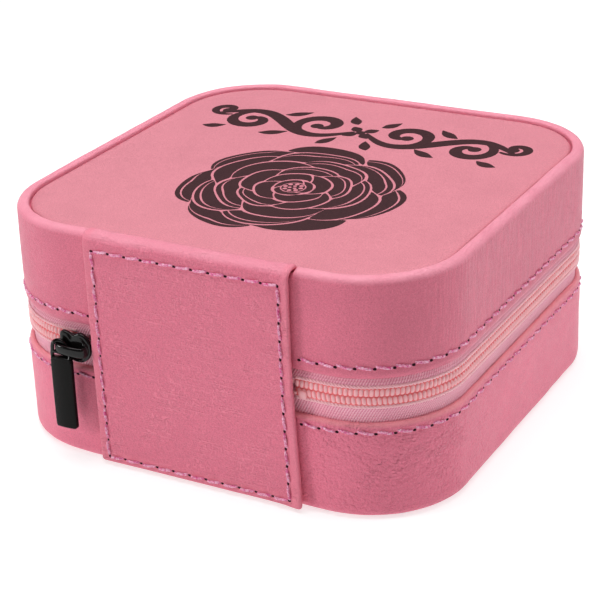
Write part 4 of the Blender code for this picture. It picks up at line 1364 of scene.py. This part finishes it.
def make_pocket_elastic():
    low, high = box_mm("pocket_elastic")
    middle, size = (low + high) / 2, high - low
    share = np.linspace(0, 1, 181)
    wave = np.sin(share * POCKET_FOLDS * 2 * pi) + 0.4 * np.sin(share * POCKET_FOLDS * 5 * pi + 1)
    path = np.column_stack([low[0] + size[0] * share, middle[1] + 0.12 * wave, middle[2] + 0.05 * wave])
    ends = np.minimum(1.0, np.minimum(share, 1 - share) / 0.03 + 0.35)
    elastic = band("pocket_elastic_hem", path, (0, 1, 0), rounded_rect(size[1], size[2], 0.75, 4), ELASTIC,
                   scales=ends * (0.88 + 0.07 * np.sin(share * POCKET_FOLDS * 4 * pi)))
    settle(elastic, "lid", "elastic_band", "pocket_elastic")


# Sections of the snaps, as (radius, drop), from the axis round to the axis again
CAP = [(0.02, 0.02), (1.2, 0.02), (2.5, 0.05), (2.9, 0.12), (3.0, 0.3), (2.9, 0.5), (2.65, 0.6),
       (2.35, 0.55), (2.2, 0.5), (1.9, 0.62), (1.3, 0.82), (0.7, 0.92), (0.02, 0.95)]
STUD = [(0.02, 0.0), (2.2, 0.0), (2.4, 0.12), (2.35, 0.25), (2.0, 0.3), (1.35, 0.32), (1.2, 0.42),
        (1.4, 0.55), (1.45, 0.65), (1.25, 0.76), (0.6, 0.8), (0.02, 0.78)]


def make_snap(node, body, profile, top, sides=40):
    """A turned steel part of a snap, hanging from the height top."""
    low, high = box_mm(node)
    turn = np.arange(sides)[:, None] * 2 * pi / sides
    ring = np.hstack([np.cos(turn), np.sin(turn), np.zeros((sides, 1))])
    centre = np.array([*((low + high) / 2)[:2], top])
    snap = loft(f"{node}_steel", [centre + ring * radius - (0, 0, drop) for radius, drop in profile], STEEL)
    settle(snap, body, "snap_metal", node)


def edge_stitches(name, body, loop, z, pitch):
    """A row of small stitches along a flat closed outline on the underside at height z."""
    loop = np.vstack([loop, loop[:1]])
    length = distances(loop)
    count = int(length[-1] / pitch)
    at = np.arange(count) * length[-1] / count
    spots = np.column_stack([np.interp(at, length, loop[:, 0]), np.interp(at, length, loop[:, 1]),
                             np.full(count, z)])
    gap = (np.roll(spots, -1, 0) - spots) * 0.14
    down = np.tile([0.0, 0.0, -1.0], (count, 1))
    paths = stitch_paths(spots + gap, np.roll(spots, -1, 0) - gap, down, 0.0, 0.09, 0.2)
    settle(tubes(name, paths, 0.11, 5, THREAD), body, "pink_leather")


def make_straps():
    """Necklace straps: leather tabs sewn to the mount strip and snapped to studs on the ceiling."""
    (x0, y0, z0), (x1, y1, z1) = box_mm("strap_mount_strip")
    loop = smooth_curve([(x0 + 0.5, y0), (x0, y0 + 0.5), (x0, y1 - 0.5), (x0 + 0.5, y1), (0, y1),
                         (x1 - 0.5, y1), (x1, y1 - 0.5), (x1, y0 + 0.5), (x1 - 0.5, y0), (0, y0)], 160)
    strip = plate("strap_mount", loop, z0, z1, 0.3, PANEL_LEATHER, axes=(0, 1, 2))
    settle(strip, "lid", "pink_leather", "strap_mount_strip")
    middle = loop.mean(0)
    inner = middle + (loop - middle) * np.array([1 - 1.8 / x1, 0.62])
    edge_stitches("strap_mount_thread", "lid", inner, z0 - 0.02, 2.6)
    for number in (1, 2, 3):
        node, body = f"necklace_strap_{number}", f"strap_{number}"
        low, high = box_mm(node)
        centre, size = ((low + high) / 2)[:2], ((high - low) / 2)[:2]
        half = size[0]
        rise = np.linspace(low[1] + 0.5, high[1] - half - 1, 10)
        loop = arc((centre[0], high[1] - half), half, 0, 180, 14)
        loop += [(centre[0] - half, y) for y in rise[::-1]]
        loop += [(centre[0] - half + 0.4, low[1]), (centre[0] + half - 0.4, low[1])]
        loop = np.array(loop + [(centre[0] + half, y) for y in rise])
        tab = plate(f"{node}_leather", loop, low[2], high[2], 0.38, PANEL_LEATHER, axes=(0, 1, 2))
        settle(tab, body, "pink_leather", node)
        inner = centre + (loop - centre) * (size - 1.1) / size
        edge_stitches(f"{node}_thread", body, inner, low[2] - 0.02, 1.9)
        make_snap(f"snap_cap_{number}", body, CAP, low[2])
        make_snap(f"snap_stud_{number}", "lid", STUD, box_mm(f"snap_stud_{number}")[1][2])


def make_hidden_layers():
    """Bottom leather, foam under the top, and finishes for the boards that stay as in the CAD."""
    runs = np.arange(0, LOOP, 2.0)
    low, high = box_mm("base_bottom_leather")
    plan = around(runs, HALF - high[0], 0.0)[:, :2]
    bottom = plate("base_bottom_cover", plan, low[2] + 0.02, high[2], 0.35, BASE_LEATHER, axes=(0, 1, 2))
    settle(bottom, "base", "pink_leather", "base_bottom_leather")
    low, high = box_mm("lid_top_pad")
    plan = around(runs, HALF - high[0], 0.0)[:, :2]
    pad = plate("lid_foam_pad", plan, low[2], high[2] - 0.1, 0.3, FOAM, axes=(0, 1, 2), dome=0.1)
    settle(pad, "lid", "foam_pad", "lid_top_pad")
    for obj in bpy.data.objects:
        if str(obj.get("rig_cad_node")).endswith("_board"):
            for entry in obj.material_slots:
                entry.material = BOARD


# ---------------------------------------------------------------- camera, floor and light
def link(name, data, matrix):
    """Put a camera or a lamp in the scene."""
    obj = bpy.data.objects.new(name, data)
    obj.matrix_world = matrix
    bpy.context.scene.collection.objects.link(obj)
    return obj


def make_camera():
    """The photo's view, from the fit of the case's corners."""
    turn, rise, roll = radians(209.1046), radians(24.2782), radians(-2.0298)
    aim, distance = Vector((8.507, -9.617, 15.422)), 436.779
    back = Vector((sin(turn) * cos(rise), -cos(turn) * cos(rise), sin(rise)))
    right = (-back).cross(Vector((0, 0, 1))).normalized()
    up = right.cross(-back)
    axes = Matrix((right * cos(roll) + up * sin(roll), up * cos(roll) - right * sin(roll), back))
    data = bpy.data.cameras.new("photo_camera")
    data.lens = 110.017
    data.sensor_width = 36.0
    data.clip_start, data.clip_end = 0.01, 10.0
    place = Matrix.Translation((aim + back * distance) * MM)
    bpy.context.scene.camera = link("photo_camera", data, place @ axes.transposed().to_4x4())


def make_floor():
    n = Nodes("studio_paper")
    fibres = n.noise(n.place, 0.8, 4.0, 0.6)
    tone = n.mix(fibres, (0.47, 0.51, 0.50), (0.51, 0.55, 0.54))
    paper = n.finish(tone, 0.85, n.bump(fibres, 0.02), Specular_IOR_Level=0.1,
                     Emission_Color=(0.99, 1.0, 1.0), Emission_Strength=0.64)
    half, steps = 3000, 25
    ticks = np.linspace(-half, half, steps)
    points = [(x, y, -0.06) for x in ticks for y in ticks]
    floor = mesh_piece("floor", points, grid_faces(steps, steps).tolist(), paper, smooth=False)


def area_light(name, place, size, power, aim=(0, 0, 0.03)):
    data = bpy.data.lights.new(name, "AREA")
    data.shape = "RECTANGLE"
    data.size, data.size_y = size
    data.energy = power
    facing = (Vector(aim) - Vector(place)).to_track_quat("-Z", "Y").to_matrix().to_4x4()
    link(name, data, Matrix.Translation(place) @ facing)


def make_light():
    world = bpy.data.worlds.new("studio")
    world.use_nodes = True
    sky = world.node_tree.nodes["Background"].inputs
    sky["Color"].default_value = (1.0, 1.0, 1.0, 1)
    sky["Strength"].default_value = 0.04
    bpy.context.scene.world = world
    area_light("top", (0.05, 0.0, 0.95), (0.8, 0.8), 10.3)
    area_light("left", (0.72, 0.62, 0.30), (0.20, 0.28), 3.0)
    area_light("right", (-0.80, -0.52, 0.38), (0.6, 0.5), 2.9)
    bpy.context.scene.view_settings.view_transform = "Standard"


make_lid_shell()
make_base_shell()
make_lid_top()
make_engraving()
make_wall_stitching()
make_panel()
make_hinge_liner()
make_tapes()
make_chain()
make_bottom_stop()
make_slider()
make_pull()
lining("base", box_mm("base_lining")[1][2], 4.3, box_mm("base_lining")[0][2])
lining("lid", box_mm("lid_lining")[0][2], 48.0, box_mm("lid_lining")[1][2])
covered_panel("long_divider", "long_divider", "base", 1)
covered_panel("front_divider", "cross_divider_front", "front_divider", 0)
covered_panel("rear_divider", "cross_divider_rear", "rear_divider", 0)
make_ring_rolls()
make_pocket()
make_pocket_elastic()
make_straps()
make_hidden_layers()
make_camera()
make_floor()
make_light()
